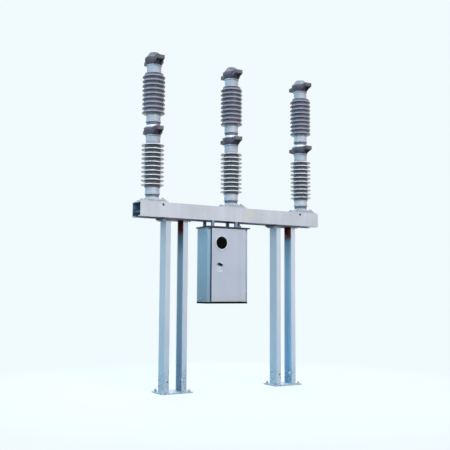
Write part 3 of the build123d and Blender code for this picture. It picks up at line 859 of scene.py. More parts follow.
def plain_mesh(shape):
    """A mesh from a shape, which is freed."""
    mesh = bpy.data.meshes.new("shape")
    shape.to_mesh(mesh)
    shape.free()
    return mesh


def joined(shapes):
    """One shape from several, which are freed."""
    whole = bmesh.new()
    for shape in shapes:
        mesh = plain_mesh(shape)
        whole.from_mesh(mesh)
        bpy.data.meshes.remove(mesh)
    return whole


def solid_mesh(worker):
    """The plain mesh of an object with its modifiers, after which the object is removed."""
    result = bpy.data.meshes.new_from_object(worker.evaluated_get(bpy.context.evaluated_depsgraph_get()))
    worker.modifiers.clear()
    bpy.data.objects.remove(worker)
    return result


def evaluated(mesh, *modifiers):
    """The plain mesh that modifiers, each (kind, settings), make of a mesh."""
    worker = placed("worker", mesh)
    for kind, settings in modifiers:
        modifier = worker.modifiers.new(kind.lower(), kind)
        for name, value in settings.items():
            setattr(modifier, name, value)
    return solid_mesh(worker)


def drilled(mesh, holes):
    """A mesh with round holes, each (middle, direction, radius, depth), cut through it."""
    cutters = bmesh.new()
    for middle, direction, radius, depth in holes:
        bmesh.ops.create_cone(
            cutters, cap_ends=True, segments=HOLE_STEPS, radius1=radius, radius2=radius, depth=depth,
            matrix=stood(middle, direction))
    drill = placed("drill", plain_mesh(cutters))
    result = evaluated(mesh, ("BOOLEAN", {"operation": "DIFFERENCE", "solver": "EXACT", "object": drill}))
    bpy.data.objects.remove(drill)
    return result


def softened(mesh, rounding, cuts=()):
    """A mesh whose sharp edges are rounded off and whose flat faces stay flat.

    Cuts are planes, each (place, facing), that part the flat faces at their holes, so that none folds over.
    """
    shape = shape_of(mesh)
    for place, facing in cuts:
        whole = [*shape.verts, *shape.edges, *shape.faces]
        parted = bmesh.ops.bisect_plane(shape, geom=whole, plane_co=place, plane_no=facing)
        for item in parted["geom_cut"]:
            if isinstance(item, bmesh.types.BMEdge):
                item.seam = True
    bmesh.ops.dissolve_limit(
        shape, angle_limit=FLAT_ANGLE, verts=shape.verts, edges=shape.edges, delimit={"SEAM"})
    shape.to_mesh(mesh)
    shape.free()
    mesh.shade_smooth()
    bevel = {
        "width": rounding, "segments": 2, "limit_method": "ANGLE", "angle_limit": SMOOTH_ANGLE,
        "use_clamp_overlap": True,
    }
    return evaluated(mesh, ("BEVEL", bevel), ("WEIGHTED_NORMAL", {"keep_sharp": True}))


def piece(name, mesh, finish, body, slot, *stands_for):
    """A finished mesh as a piece of the breaker, riding on a body and standing for nodes of the frame."""
    if not mesh.materials:
        mesh.materials.append(finishes[finish])
    mesh.name = name
    made = placed(name, mesh)
    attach(made, body)
    if stands_for:
        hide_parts(*stands_for)


def soft_piece(name, shape, rounding, finish, slot):
    """A fixed piece of one shape with its edges rounded."""
    piece(name, softened(plain_mesh(shape), rounding), finish, "breaker", slot)


def turned_piece(name, shapes, finish, slot, *stands_for):
    """A fixed piece of turned shapes, smooth but for its sharp edges."""
    mesh = plain_mesh(joined(shapes))
    mesh.shade_smooth()
    mesh.set_sharp_from_angle(angle=SMOOTH_ANGLE)
    piece(name, mesh, finish, "breaker", slot, *stands_for)


def dressed(node, finish, rounding, cuts=()):
    """A copy of a node of the frame with its edges rounded and its finish on, in the node's place."""
    source = frame["nodes"][node]
    shape = shape_of(source.data)
    bmesh.ops.remove_doubles(shape, verts=shape.verts, dist=SAME_POINT)
    mesh = softened(plain_mesh(shape), rounding, cuts)
    piece(f"{node}_dressed", mesh, finish, source["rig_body"], slots[node], node)


# Repeats

class Grower(Tree):
    """A Geometry Nodes tree in the making, with named inputs."""

    def __init__(self, name, inputs):
        super().__init__(bpy.data.node_groups.new(name, "GeometryNodeTree"))
        for label, kind in inputs.items():
            self.tree.interface.new_socket(label, in_out="INPUT", socket_type=f"NodeSocket{kind}")
        self.tree.interface.new_socket("Result", in_out="OUTPUT", socket_type="NodeSocketGeometry")
        self.entry = self.tree.nodes.new("NodeGroupInput")

    def given(self, label):
        """One of the tree's inputs."""
        return Value(self, self.entry.outputs[label])

    def chance(self, low, high):
        """A number between two others, drawn for each point from the tree's seed."""
        sockets = {"Min": low, "Max": high, "Seed": self.given("Seed")}
        return self.node("FunctionNodeRandomValue", {"data_type": "FLOAT"}, sockets, out=1)

    def end(self, instances, weld=0.0):
        """Realize the instances, weld their seams where asked, set the finish and end the tree."""
        solid = self.node("GeometryNodeRealizeInstances", sockets={"Geometry": instances})
        if weld:
            solid = self.node("GeometryNodeMergeByDistance", sockets={"Geometry": solid, "Distance": weld})
        sockets = {"Geometry": solid, "Material": self.given("Finish")}
        painted = self.node("GeometryNodeSetMaterial", sockets=sockets)
        self.put(self.tree.nodes.new("NodeGroupOutput").inputs[0], painted)
        return self.tree


def shed_stack():
    """Tree that piles copies of one shed, seam on seam."""
    inputs = {"Shed": "Geometry", "Count": "Int", "Pitch": "Float", "Finish": "Material"}
    grower = Grower("shed_stack", inputs)
    offset = grower.node("ShaderNodeCombineXYZ", sockets={"Z": grower.given("Pitch")})
    seats = grower.node("GeometryNodeMeshLine", sockets={"Count": grower.given("Count"), "Offset": offset})
    sheds = grower.node(
        "GeometryNodeInstanceOnPoints", sockets={"Points": seats, "Instance": grower.given("Shed")})
    return grower.end(sheds, weld=10 * SAME_POINT)


def fastener_field():
    """Tree that sets a fastener on each point, along the point's facing and at a turn of its own."""
    inputs = {
        "Points": "Geometry", "Fastener": "Object", "Size": "Float", "Seed": "Int", "Finish": "Material",
    }
    grower = Grower("fastener_field", inputs)
    facing = grower.node(
        "GeometryNodeInputNamedAttribute", {"data_type": "FLOAT_VECTOR"}, {"Name": "facing"})
    upright = grower.node("FunctionNodeAlignRotationToVector", {"axis": "Z"}, {"Vector": facing})
    sockets = {"Axis": UP, "Angle": grower.chance(0.0, math.pi / 3)}
    spin = grower.node("FunctionNodeAxisAngleToRotation", sockets=sockets)
    rotation = grower.node(
        "FunctionNodeRotateRotation", {"rotation_space": "LOCAL"}, {"Rotation": upright, "Rotate By": spin})
    source = {"Object": grower.given("Fastener")}
    shape = grower.node("GeometryNodeObjectInfo", sockets=source, out="Geometry")
    sockets = {
        "Points": grower.given("Points"), "Instance": shape, "Rotation": rotation,
        "Scale": grower.given("Size"),
    }
    return grower.end(grower.node("GeometryNodeInstanceOnPoints", sockets=sockets))


def weld_run():
    """Tree that lays overlapping weld beads along a path, each a little larger or smaller."""
    inputs = {"Path": "Geometry", "Bead": "Float", "Seed": "Int", "Finish": "Material"}
    grower = Grower("weld_run", inputs)
    curve = grower.node("GeometryNodeMeshToCurve", sockets={"Mesh": grower.given("Path")})
    spaced = grower.node(
        "GeometryNodeResampleCurve", {"mode": "LENGTH"}, {"Curve": curve, "Length": grower.given("Bead")})
    bead = grower.node("GeometryNodeMeshUVSphere", sockets={"Segments": 8, "Rings": 5, "Radius": 1.0})
    scale = grower.chance(0.8, 1.15) * grower.given("Bead")
    beads = grower.node(
        "GeometryNodeInstanceOnPoints", sockets={"Points": spaced, "Instance": bead, "Scale": scale})
    return grower.end(beads)


def grown(mesh, tree, **values):
    """The plain mesh that a tree makes of a mesh, with the tree's inputs set by their names."""
    worker = placed("worker", mesh)
    modifier = worker.modifiers.new("grow", "NODES")
    modifier.node_group = tree
    for item in tree.interface.items_tree:
        if item.name.lower() in values:
            modifier[item.identifier] = values[item.name.lower()]
    return solid_mesh(worker)


def hex_head(height, chamfer):
    """A hexagonal head that stands on 0 and is one wide across its flats."""
    corner = 1 / math.sqrt(3)
    outline = ((corner, 0), (corner, height - chamfer), (corner - 1.4 * chamfer, height))
    shape = bmesh.new()
    return capped(shape, [ring(shape, radius, level, 6) for radius, level in outline])


def raised(shape, level):
    """A shape lifted to a level."""
    bmesh.ops.translate(shape, verts=shape.verts, vec=(0, 0, level))
    return shape


def round_bar(radius, top, chamfer, steps):
    """A round bar that stands on 0, chamfered at its top."""
    side = [(radius, 0, 0), (radius, top - chamfer, 0), (radius - chamfer, top, 0)]
    return turned([(0, 0, 0), *side, (0, top, 0)], steps=steps)


def fastener_shapes():
    """The kinds of fastener, each one wide across its flats or its head, standing on 0.

    Their outlines are shares of that width.
    """
    washer = {"radius": 0.62, "top": 0.09, "chamfer": 0.02, "steps": 18}
    stud = {"radius": 0.33, "top": 1.05, "chamfer": 0.06, "steps": 12}
    head_chamfer = 0.05
    dome = [(0.5, 0, 0), (0.46, 0.18, 0), (0.3, 0.32, 0)]
    recess = [(0.13, 0.35, 0), (0.13, 0.2, 0), (0, 0.2, 0)]
    bolt_head, nut_body = (raised(hex_head(height, head_chamfer), washer["top"]) for height in (0.42, 0.55))
    shapes = {
        "bolt": [round_bar(**washer), bolt_head],
        "nut": [round_bar(**washer), nut_body, round_bar(**stud)],
        "screw": [turned([(0, 0, 0), *dome, *recess], steps=14)],
    }
    return {
        name: bpy.data.objects.new(f"{name}_pattern", plain_mesh(joined(parts)))
        for name, parts in shapes.items()
    }


def fastened(name, kind, size, points, body="breaker", slot="galvanised_steel", finish="fastener"):
    """One piece of like fasteners on points, each (place, facing)."""
    mesh = bpy.data.meshes.new("points")
    mesh.from_pydata([tuple(place) for place, facing in points], [], [])
    facings = mesh.attributes.new("facing", "FLOAT_VECTOR", "POINT")
    for item, (place, facing) in zip(facings.data, points):
        item.vector = facing
    values = {"fastener": patterns[kind], "size": size, "seed": TURN_SEED, "finish": finishes[finish]}
    piece(name, grown(mesh, trees["fasteners"], **values), finish, body, slot)


def bolt_circle(middle, radius, facing, bolts, first=0.0):
    """Points and facings of fasteners on a circle about a facing."""
    ways = [first + 2 * math.pi * step / bolts for step in range(bolts)]
    arms = [Vector((math.cos(way), math.sin(way), 0)) * radius for way in ways]
    return [(stood(middle, facing) @ arm, facing) for arm in arms]


def corner_set(middle, half_across, half_up, facing):
    """Points and facings of fasteners at the corners of a rectangle that lies level or stands upright."""
    across = Vector(ACROSS) * half_across
    up = Vector(REAR if facing[2] else UP) * half_up
    return [(Vector(middle) + across * a + up * b, facing) for a, b in QUARTERS]


def face_of(node, facing, inset):
    """Middle of the front or rear face of a node's box, and half its sides less an inset."""
    low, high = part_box(node)
    middle, half = (low + high) / 2, (high - low) / 2
    middle.y = high.y if facing == REAR else low.y
    return middle, (half.x - inset, half.z - inset)


def welded(name, loops, bead):
    """One piece of weld beads along closed loops of points."""
    path = bmesh.new()
    for loop in loops:
        run = [path.verts.new(point) for point in loop]
        for first, second in zip(run, run[1:] + run[:1]):
            path.edges.new((first, second))
    mesh = grown(plain_mesh(path), trees["welds"], bead=bead, seed=BEAD_SEED, finish=finishes["steel"])
    mesh.shade_smooth()
    piece(name, mesh, "steel", "breaker", "galvanised_steel")


# Operators

class BREAKER_OT_finishes(bpy.types.Operator):
    """Make the finishes, fastener shapes and repeats that the pieces share"""

    bl_idname = "breaker.finishes"
    bl_label = "Finishes"

    def execute(self, context):
        scene = context.scene
        colours, sizes, wear = scene.breaker_colours, scene.breaker_sizes, scene.breaker_wear
        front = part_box("cabinet_left_wall")[0].y + sizes.sheet
        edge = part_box("door")[1].x
        fold = (edge - sizes.door_fold, front)
        door_paint = (colours.paint, 0.06, fold, shade(colours.paint, 1.08), colours.soil, wear)
        # The body takes the door paint on its front strip right of the door: the lit copy beside its
        # painted-shade colour.
        body_paint = (shade(colours.body, 1.17), 0.6, (edge, front), colours.paint, colours.soil, wear)
        finishes.update(
            paint=paint_finish("door_paint", *door_paint), body=paint_finish("cabinet_paint", *body_paint),
            steel=steel_finish(colours, sizes, wear), roof=roof_finish(colours),
            glaze=glaze_finish(colours, wear), collar=collar_finish(colours, sizes),
            casting=casting_finish(colours, sizes, wear), bright=bright_finish(colours),
            fastener=fastener_finish(colours), drive=drive_finish(colours),
            mechanism=mechanism_finish(colours), indicator=indicator_finish(colours, sizes),
            rubber=rubber_finish(colours), glass=glass_finish(colours),
        )
        patterns.update(fastener_shapes())
        trees.update(fasteners=fastener_field(), sheds=shed_stack(), welds=weld_run())
        return {"FINISHED"}


class BREAKER_OT_beam(bpy.types.Operator):
    """Roll the two channels of the beam, with their lifting holes, and set the spacers between them"""

    bl_idname = "breaker.beam"
    bl_label = "Beam"

    def execute(self, context):
        sizes = context.scene.breaker_sizes
        for side, facing in (("front", 1), ("rear", -1)):
            node = f"{side}_beam_channel"
            low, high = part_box(node)
            outline = channel_outline(
                high.y - low.y, high.z - low.z, sizes.beam_web, sizes.beam_flange,
                sizes.root_rounding, sizes.toe_rounding)
            start = low if facing == 1 else high
            origin = (start.x, start.y, (low.z + high.z) / 2)
            mesh = plain_mesh(prism(outline, origin, (0, facing, 0), UP, high.x - low.x))
            places = [mounts[f"{side}_{end}_lifting_hole"]["pos_m"] for end in LEGS]
            holes = [(place, REAR, sizes.lifting_hole, 4 * sizes.beam_web) for place in places]
            cuts = [(place, ACROSS) for place in places]
            mesh = softened(drilled(mesh, holes), sizes.edge_rounding, cuts)
            piece(f"{side}_beam_channel_rolled", mesh, "steel", "breaker", "galvanised_steel", node)
        # The spacers take the dark enamel as painted shade inside the beam.
        dressed("beam_spacers", "drive", sizes.edge_rounding)
        return {"FINISHED"}


class BREAKER_OT_legs(bpy.types.Operator):
    """Roll the leg channels and weld them between their plates"""

    bl_idname = "breaker.legs"
    bl_label = "Legs"

    def execute(self, context):
        sizes = context.scene.breaker_sizes
        for leg in LEGS:
            node = f"{leg}_leg_channels"
            low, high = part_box(node)
            outline = channel_outline(
                sizes.leg_flange_width, high.y - low.y, sizes.leg_web, sizes.leg_flange,
                sizes.root_rounding, sizes.toe_rounding)
            shapes, loops = [], []
            for edge, facing in ((low.x, 1), (high.x, -1)):
                across, inward = (facing, 0, 0), (0, facing, 0)
                shapes.append(prism(outline, (edge, 0, low.z), across, inward, high.z - low.z))
                for level in (low.z, high.z):
                    loops.append([(edge + facing * u, facing * v, level) for u, v in outline])
            place = (high.x, 0.6 * high.y, sizes.earth_hole_level)
            holes = [(place, ACROSS, sizes.earth_hole, 4 * sizes.leg_web)]
            whole = drilled(plain_mesh(joined(shapes)), holes)
            mesh = softened(whole, sizes.edge_rounding, [(place, UP)])
            piece(f"{leg}_leg_channels_rolled", mesh, "steel", "breaker", "galvanised_steel", node)
            welded(f"{leg}_leg_welds", loops, sizes.weld)
            dressed(f"{leg}_base_plate", "steel", sizes.edge_rounding)
            dressed(f"{leg}_leg_top_plate", "drive", sizes.edge_rounding)
        return {"FINISHED"}


class BREAKER_OT_porcelain(bpy.types.Operator):
    """Stack the glazed sheds of the insulators and seal them into their collars"""

    bl_idname = "breaker.porcelain"
    bl_label = "Porcelain"

    def insulator(self, node, part, axis, sizes):
        """Pile one turned shed as often as the insulator has it."""
        sheds, core, fall = (getattr(sizes, f"{part}_{name}") for name in ("sheds", "core", "fall"))
        low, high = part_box(node)
        pitch = (high.z - low.z) / sheds
        rim = (high.y - low.y) / 2
        rim_top = low.z + pitch - fall
        rim_bottom = rim_top - sizes.shed_rim
        soft = 0.48 * sizes.shed_rim
        corners = [
            (core, low.z, 0), (core, rim_bottom + sizes.shed_lift, soft),
            (rim, rim_bottom, 0.8 * soft), (rim, rim_top, soft),
            (core, low.z + pitch - soft / 4, soft / 2), (core, low.z + pitch, 0),
        ]
        unit = plain_mesh(turned(corners, axis))
        mesh = grown(unit, trees["sheds"], count=sheds, pitch=pitch, finish=finishes["glaze"])
        shape = shape_of(mesh)
        bmesh.ops.holes_fill(shape, edges=[edge for edge in shape.edges if edge.is_boundary], sides=0)
        bmesh.ops.recalc_face_normals(shape, faces=shape.faces)
        shape.to_mesh(mesh)
        shape.free()
        mesh.shade_smooth()
        mesh.set_sharp_from_angle(angle=SHED_ANGLE)
        piece(f"{node}_glazed", mesh, "glaze", "breaker", "porcelain", node)

    def execute(self, context):
        sizes = context.scene.breaker_sizes
        reach, height, soft = sizes.collar + sizes.seal / 4, sizes.seal, sizes.seal / 3
        ring = [(0, 0, 0), (reach, 0, soft), (reach, height, soft), (0, height, 0)]
        for pole in POLES:
            x, y, ground = pole_axis(pole)
            seals = []
            for part in INSULATORS:
                node = f"{pole}_{part}_insulator"
                self.insulator(node, part, (x, y, ground), sizes)
                seals += [turned(ring, (x, y, end.z - height / 2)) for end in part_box(node)]
            turned_piece(f"{pole}_pole_seals", seals, "bright", "cast_collar")
        return {"FINISHED"}


class BREAKER_OT_castings(bpy.types.Operator):
    """Turn the collars and dress the bases and terminals of the poles"""

    bl_idname = "breaker.castings"
    bl_label = "Castings"

    def collar(self, sizes, bottom, top, lip_at_top):
        """Corners of a collar, with a rounded lip at one end and a soft shoulder at the other."""
        soft = 3 * sizes.edge_rounding
        step = top - sizes.lip_height if lip_at_top else bottom + sizes.lip_height
        lower, upper = (sizes.collar, sizes.lip) if lip_at_top else (sizes.lip, sizes.collar)
        middle = [(lower, bottom, soft), (lower, step, soft), (upper, step, soft), (upper, top, soft)]
        return [(0, bottom, 0), *middle, (0, top, 0)]

    def execute(self, context):
        sizes = context.scene.breaker_sizes
        soft = 2 * sizes.edge_rounding
        flange, neck = sizes.joint_flange, sizes.joint_neck
        for pole in POLES:
            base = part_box(f"{pole}_pole_base")
            lower, upper = (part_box(f"{pole}_{part}_terminal") for part in TERMINALS)
            support, interrupter = (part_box(f"{pole}_{part}_insulator") for part in INSULATORS)
            joint = lower[1].z
            step = joint + sizes.joint_flange_height
            joint_top = step + sizes.joint_neck_height
            outlines = [
                self.collar(sizes, base[1].z, support[0].z, False),
                self.collar(sizes, support[1].z, lower[0].z, True),
                [
                    (0, joint, 0), (flange, joint, soft), (flange, step, 2 * soft), (neck, step, soft),
                    (neck, joint_top, 0), (0, joint_top, 0),
                ],
                self.collar(sizes, joint_top, interrupter[0].z, False),
                self.collar(sizes, interrupter[1].z, upper[0].z, True),
            ]
            axis = pole_axis(pole)
            shapes = [turned(outline, axis) for outline in outlines]
            node = f"{pole}_pole_collars"
            turned_piece(f"{node}_turned", shapes, "collar", "cast_collar", node)
            dressed(f"{pole}_pole_base", "collar", soft, [(axis, ACROSS), (axis, REAR)])
            for part in TERMINALS:
                dressed(f"{pole}_{part}_terminal", "casting", soft)
        dressed("pole_seats", "steel", sizes.edge_rounding)
        return {"FINISHED"}


class BREAKER_OT_drive(bpy.types.Operator):
    """Dress the crank housings and rods under the poles and close the housings with covers"""

    bl_idname = "breaker.drive"
    bl_label = "Drive"

    def execute(self, context):
        sizes = context.scene.breaker_sizes
        dressed("crank_housings", "drive", 3 * sizes.edge_rounding)
        dressed("drive_rods", "drive", sizes.edge_rounding)
        low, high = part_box("crank_housings")
        width = 2 * (high.x - pole_axis("right")[0])
        outline = box_outline(width, high.y - low.y, 2 * sizes.cover)
        places = [(pole_axis(pole)[0], 0, low.z - sizes.cover) for pole in POLES]
        covers = joined([prism(outline, place, ACROSS, REAR, sizes.cover) for place in places])
        soft_piece("crank_housing_covers", covers, sizes.edge_rounding, "drive", "drive_steel")
        return {"FINISHED"}


class BREAKER_OT_cabinet(bpy.types.Operator):
    """Dress the cabinet and add its base rail, header and door gasket"""

    bl_idname = "breaker.cabinet"
    bl_label = "Cabinet"

    def trim(self, sizes):
        """The dark rail under the floor, the strip over the door opening and the gasket behind the door."""
        edge = sizes.edge_rounding
        left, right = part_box("cabinet_left_wall"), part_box("cabinet_right_wall")
        middle, span = middle_of("cabinet_floor"), span_of("cabinet_floor")
        outline = box_outline(span.x + 2 * sizes.rail_reach, span.y + 2 * sizes.rail_reach, sizes.sheet)
        origin = (middle.x, middle.y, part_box("cabinet_floor")[0].z - sizes.rail_height)
        rail = prism(outline, origin, ACROSS, REAR, sizes.rail_height + 0.8 * sizes.sheet)
        soft_piece("cabinet_base_rail", rail, edge, "rubber", "roof_paint")
        outline = box_outline(right[0].x - left[1].x, sizes.header_height)
        origin = (middle.x, left[0].y + sizes.sheet, left[1].z - sizes.header_height / 2)
        header = prism(outline, origin, ACROSS, UP, sizes.sheet)
        soft_piece("cabinet_header", header, edge, "body", "cabinet_paint")
        middle, span, width = middle_of("door"), span_of("door"), sizes.gasket_width
        outer = box_outline(span.x - width, span.z - width, width)
        inner = box_outline(span.x - 3 * width, span.z - 3 * width, width / 2)
        gasket = framed(outer, inner, (middle.x, left[0].y, middle.z), ACROSS, UP, sizes.gasket_depth)
        soft_piece("door_gasket", gasket, edge, "rubber", "latch_lever")

    def hanger_welds(self, sizes):
        """Beads round both ends of the hanger posts."""
        low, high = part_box("cabinet_hangers")
        side = sizes.hanger
        loops = []
        for x, y in QUARTERS:
            corner = (low.x if x < 0 else high.x, y * high.y)
            steps = ((0, 0), (-x * side, 0), (-x * side, -y * side), (0, -y * side))
            for level in (low.z, high.z):
                loops.append([(corner[0] + a, corner[1] + b, level) for a, b in steps])
        welded("hanger_welds", loops, 0.8 * sizes.weld)

    def execute(self, context):
        sizes = context.scene.breaker_sizes
        looks = {
            "cabinet_left_wall": "body", "cabinet_right_wall": "body", "cabinet_back_wall": "body",
            "cabinet_floor": "body", "stile_hinges": "body", "cabinet_roof": "roof",
            "cabinet_hangers": "steel",
        }
        for node, finish in looks.items():
            dressed(node, finish, sizes.edge_rounding)
        self.trim(sizes)
        self.hanger_welds(sizes)
        return {"FINISHED"}


class BREAKER_OT_door(bpy.types.Operator):
    """Dress the door with its window, latch and hinges, and darken its free edge with a strip of painted
    shade
    """

    bl_idname = "breaker.door"
    bl_label = "Door"

    def execute(self, context):
        sizes = context.scene.breaker_sizes
        edge = sizes.edge_rounding
        window, lever = middle_of("window_ring"), middle_of("latch_lever")
        dressed("door", "paint", edge, [(window, UP), (lever, UP)])
        dressed("door_hinges", "paint", edge)
        dressed("latch_plate", "bright", edge)
        dressed("latch_lever", "rubber", 2 * edge, [(lever, ACROSS), (lever, UP)])
        dressed("window_ring", "bright", edge)
        dressed("window_glass", "glass", edge / 2)
        low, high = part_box("door")
        # Painted shade: a thin dark strip covers the free edge of the door.
        outline = box_outline(sizes.door_shade_strip, high.y - low.y - edge, sizes.door_shade_strip / 3)
        origin = (low.x - sizes.door_shade_strip / 2, (low.y + high.y) / 2, low.z + 3 * edge)
        seal = prism(outline, origin, ACROSS, REAR, high.z - low.z - 6 * edge)
        piece("door_edge_seal", plain_mesh(seal), "rubber", "door", "latch_lever")
        return {"FINISHED"}


class BREAKER_OT_mechanism(bpy.types.Operator):
    """Dress the mechanism behind the door, with the hub of its spring drum and its indicator"""

    bl_idname = "breaker.mechanism"
    bl_label = "Mechanism"

    def hub(self, sizes):
        """Corners of the hub: a raised rim round a sunk floor, and a boss in its middle."""
        soft, draft = sizes.edge_rounding, sizes.hub_draft
        rim, inner, boss = sizes.hub, sizes.hub - sizes.hub_rim, sizes.hub_boss
        top, floor, boss_top = sizes.hub_rim_height, sizes.hub_floor, sizes.hub_boss_height
        return [
            (0, 0, 0), (rim, 0, 0), (rim, top, soft), (inner, top, soft), (inner - draft, floor, soft),
            (boss, floor, soft), (boss - draft / 2, boss_top, soft), (0, boss_top, 0),
        ]

    def execute(self, context):
        sizes = context.scene.breaker_sizes
        dressed("mechanism_unit", "mechanism", 2 * sizes.edge_rounding)
        dressed("position_indicator", "indicator", sizes.edge_rounding)
        low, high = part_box("mechanism_unit")
        middle, half = face_of("mechanism_unit", FRONT, sizes.cover_bolt)
        drum = Vector((middle.x + sizes.drum_offset, low.y, low.z + sizes.drum_rise))
        turned_piece("spring_drum_hub", [turned(self.hub(sizes), drum, FRONT)], "drive", "mechanism_paint")
        front = Vector(FRONT)
        middle.y = high.y - sizes.mechanism_depth
        circle = (sizes.hub - sizes.hub_rim - sizes.hub_draft + sizes.hub_boss) / 2
        bolts = corner_set(middle, *half, FRONT)
        bolts += corner_set(middle, half[0], 0.3 * half[1], FRONT)
        bolts += bolt_circle(drum + front * sizes.hub_floor, circle, FRONT, 6)
        nut = [(drum + front * sizes.hub_boss_height, FRONT)]
        fastened("mechanism_bolts", "bolt", sizes.cover_bolt, bolts, slot="mechanism_paint")
        fastened("spring_drum_nut", "nut", 2 * sizes.cover_bolt, nut, slot="mechanism_paint")
        return {"FINISHED"}


class BREAKER_OT_fasteners(bpy.types.Operator):
    """Set the bolts, nuts and screws of the frame, the poles and the cabinet"""

    bl_idname = "breaker.fasteners"
    bl_label = "Fasteners"

    def frame_bolts(self, sizes):
        """Anchor nuts and earth studs at the feet, and bolts with their nuts through the leg top plates."""
        anchors, heads, nuts, studs = [], [], [], []
        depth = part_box("rear_beam_channel")[0].y + sizes.plate_bolt
        for leg in LEGS:
            anchor = mounts[f"{leg}_anchor_bolts"]
            spread = [anchor["dims"][f"spacing_{axis}_mm"] * MM / 2 for axis in "xy"]
            anchors += corner_set((anchor["pos_m"][0], 0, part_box(f"{leg}_base_plate")[1].z), *spread, UP)
            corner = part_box(f"{leg}_leg_channels")[0]
            stud = (corner.x + 0.65 * sizes.leg_flange_width, corner.y, sizes.earth_hole_level)
            studs.append((stud, FRONT))
            low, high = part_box(f"{leg}_leg_top_plate")
            middle, across = (low.x + high.x) / 2, (high.x - low.x) / 2 - 0.8 * sizes.plate_bolt
            heads += corner_set((middle, 0, low.z), across, depth, DOWN)
            nuts += corner_set((middle, 0, high.z + sizes.beam_flange), across, depth, UP)
        fastened("anchor_nuts", "nut", sizes.anchor_nut, anchors)
        fastened("leg_earth_studs", "bolt", sizes.cover_bolt, studs, finish="drive")
        fastened("leg_plate_bolts", "bolt", sizes.plate_bolt, heads)
        fastened("leg_plate_nuts", "nut", sizes.plate_bolt, nuts)

    def pole_bolts(self, sizes):
        """Bolts of the seats, the pole bases, the terminals and the crank housings."""
        seats, flanges, rims, covers = [], [], [], []
        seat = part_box("pole_seats")[1]
        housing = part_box("crank_housings")
        seat_reach = seat.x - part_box("right_pole_base")[1].x
        for pole in POLES:
            low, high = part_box(f"{pole}_pole_base")
            x, half = (low.x + high.x) / 2, (high.x - low.x) / 2
            inset = half - sizes.base_bolt
            seats += corner_set((x, 0, seat.z), half + seat_reach / 2, 0.68 * half, UP)
            flanges += corner_set((x, 0, low.z + sizes.base_flange), inset, inset, UP)
            covers += corner_set((x, 0, housing[0].z - sizes.cover), 0.8 * half, 0.6 * housing[1].y, DOWN)
            for part in TERMINALS:
                middle = (x, 0, terminal_top(pole, part, sizes))
                rims += bolt_circle(middle, sizes.rim_circle, UP, 8, math.pi / 8)
        fastened("seat_bolts", "bolt", 0.8 * sizes.plate_bolt, seats)
        fastened("pole_base_bolts", "bolt", sizes.base_bolt, flanges)
        fastened("terminal_rim_bolts", "bolt", sizes.rim_bolt, rims, slot="terminal_casting")
        fastened("crank_cover_bolts", "bolt", sizes.cover_bolt, covers, slot="drive_steel")

    def rod_nuts(self, sizes):
        """Lock nuts where the drive rods meet the housings and the roof."""
        low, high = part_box("crank_housings")
        half = high.x - pole_axis("right")[0]
        level = low.z + 0.3 * (high.z - low.z)
        points = []
        for pole, ways in zip(POLES, ((1,), (-1, 1), (-1,))):
            x = pole_axis(pole)[0]
            points += [((x + way * half, 0, level), (way, 0, 0)) for way in ways]
        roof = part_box("drive_rods")[0].z
        points += [((sizes.rod_offset, 0, roof), UP), ((sizes.rod_offset, 0, low.z), DOWN)]
        fastened("drive_rod_nuts", "nut", sizes.rod_nut, points, slot="drive_steel")

    def cabinet_screws(self, sizes):
        """Screws of the back wall, the earth stud, and the screws and lock that ride on the door."""
        middle, half = face_of("cabinet_back_wall", REAR, sizes.screw)
        places = [(1, share) for share in (0.02, 0.34, 0.67, 1.0)] + [(share, 1) for share in (0.33, 0.66)]
        screws = []
        for across, up in places:
            screws += corner_set(middle, across * half[0], up * half[1], REAR)
        fastened("back_wall_screws", "screw", sizes.screw, screws, slot="cabinet_paint")
        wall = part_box("cabinet_left_wall")[0]
        stud = [((wall.x, sizes.earth_stud_place, wall.z + sizes.earth_stud_level), LEFT)]
        fastened("earth_stud", "nut", 2 * sizes.screw, stud, finish="bright")
        middle, half = face_of("window_ring", FRONT, sizes.screw)
        screws = bolt_circle(middle, half[0], FRONT, 8)
        fastened("window_ring_screws", "screw", 0.7 * sizes.screw, screws, "door", "window_ring", "bright")
        middle, half = face_of("latch_plate", FRONT, sizes.screw)
        screws = corner_set(middle, *half, FRONT)
        fastened("latch_plate_screws", "screw", 0.7 * sizes.screw, screws, "door", "cabinet_paint", "bright")
        lock = [(middle - Vector(UP) * (0.25 * half[1]), FRONT)]
        fastened("latch_lock", "screw", 2.2 * sizes.screw, lock, "door", "window_ring", "bright")

    def execute(self, context):
        sizes = context.scene.breaker_sizes
        self.frame_bolts(sizes)
        self.pole_bolts(sizes)
        self.rod_nuts(sizes)
        self.cabinet_screws(sizes)
        return {"FINISHED"}


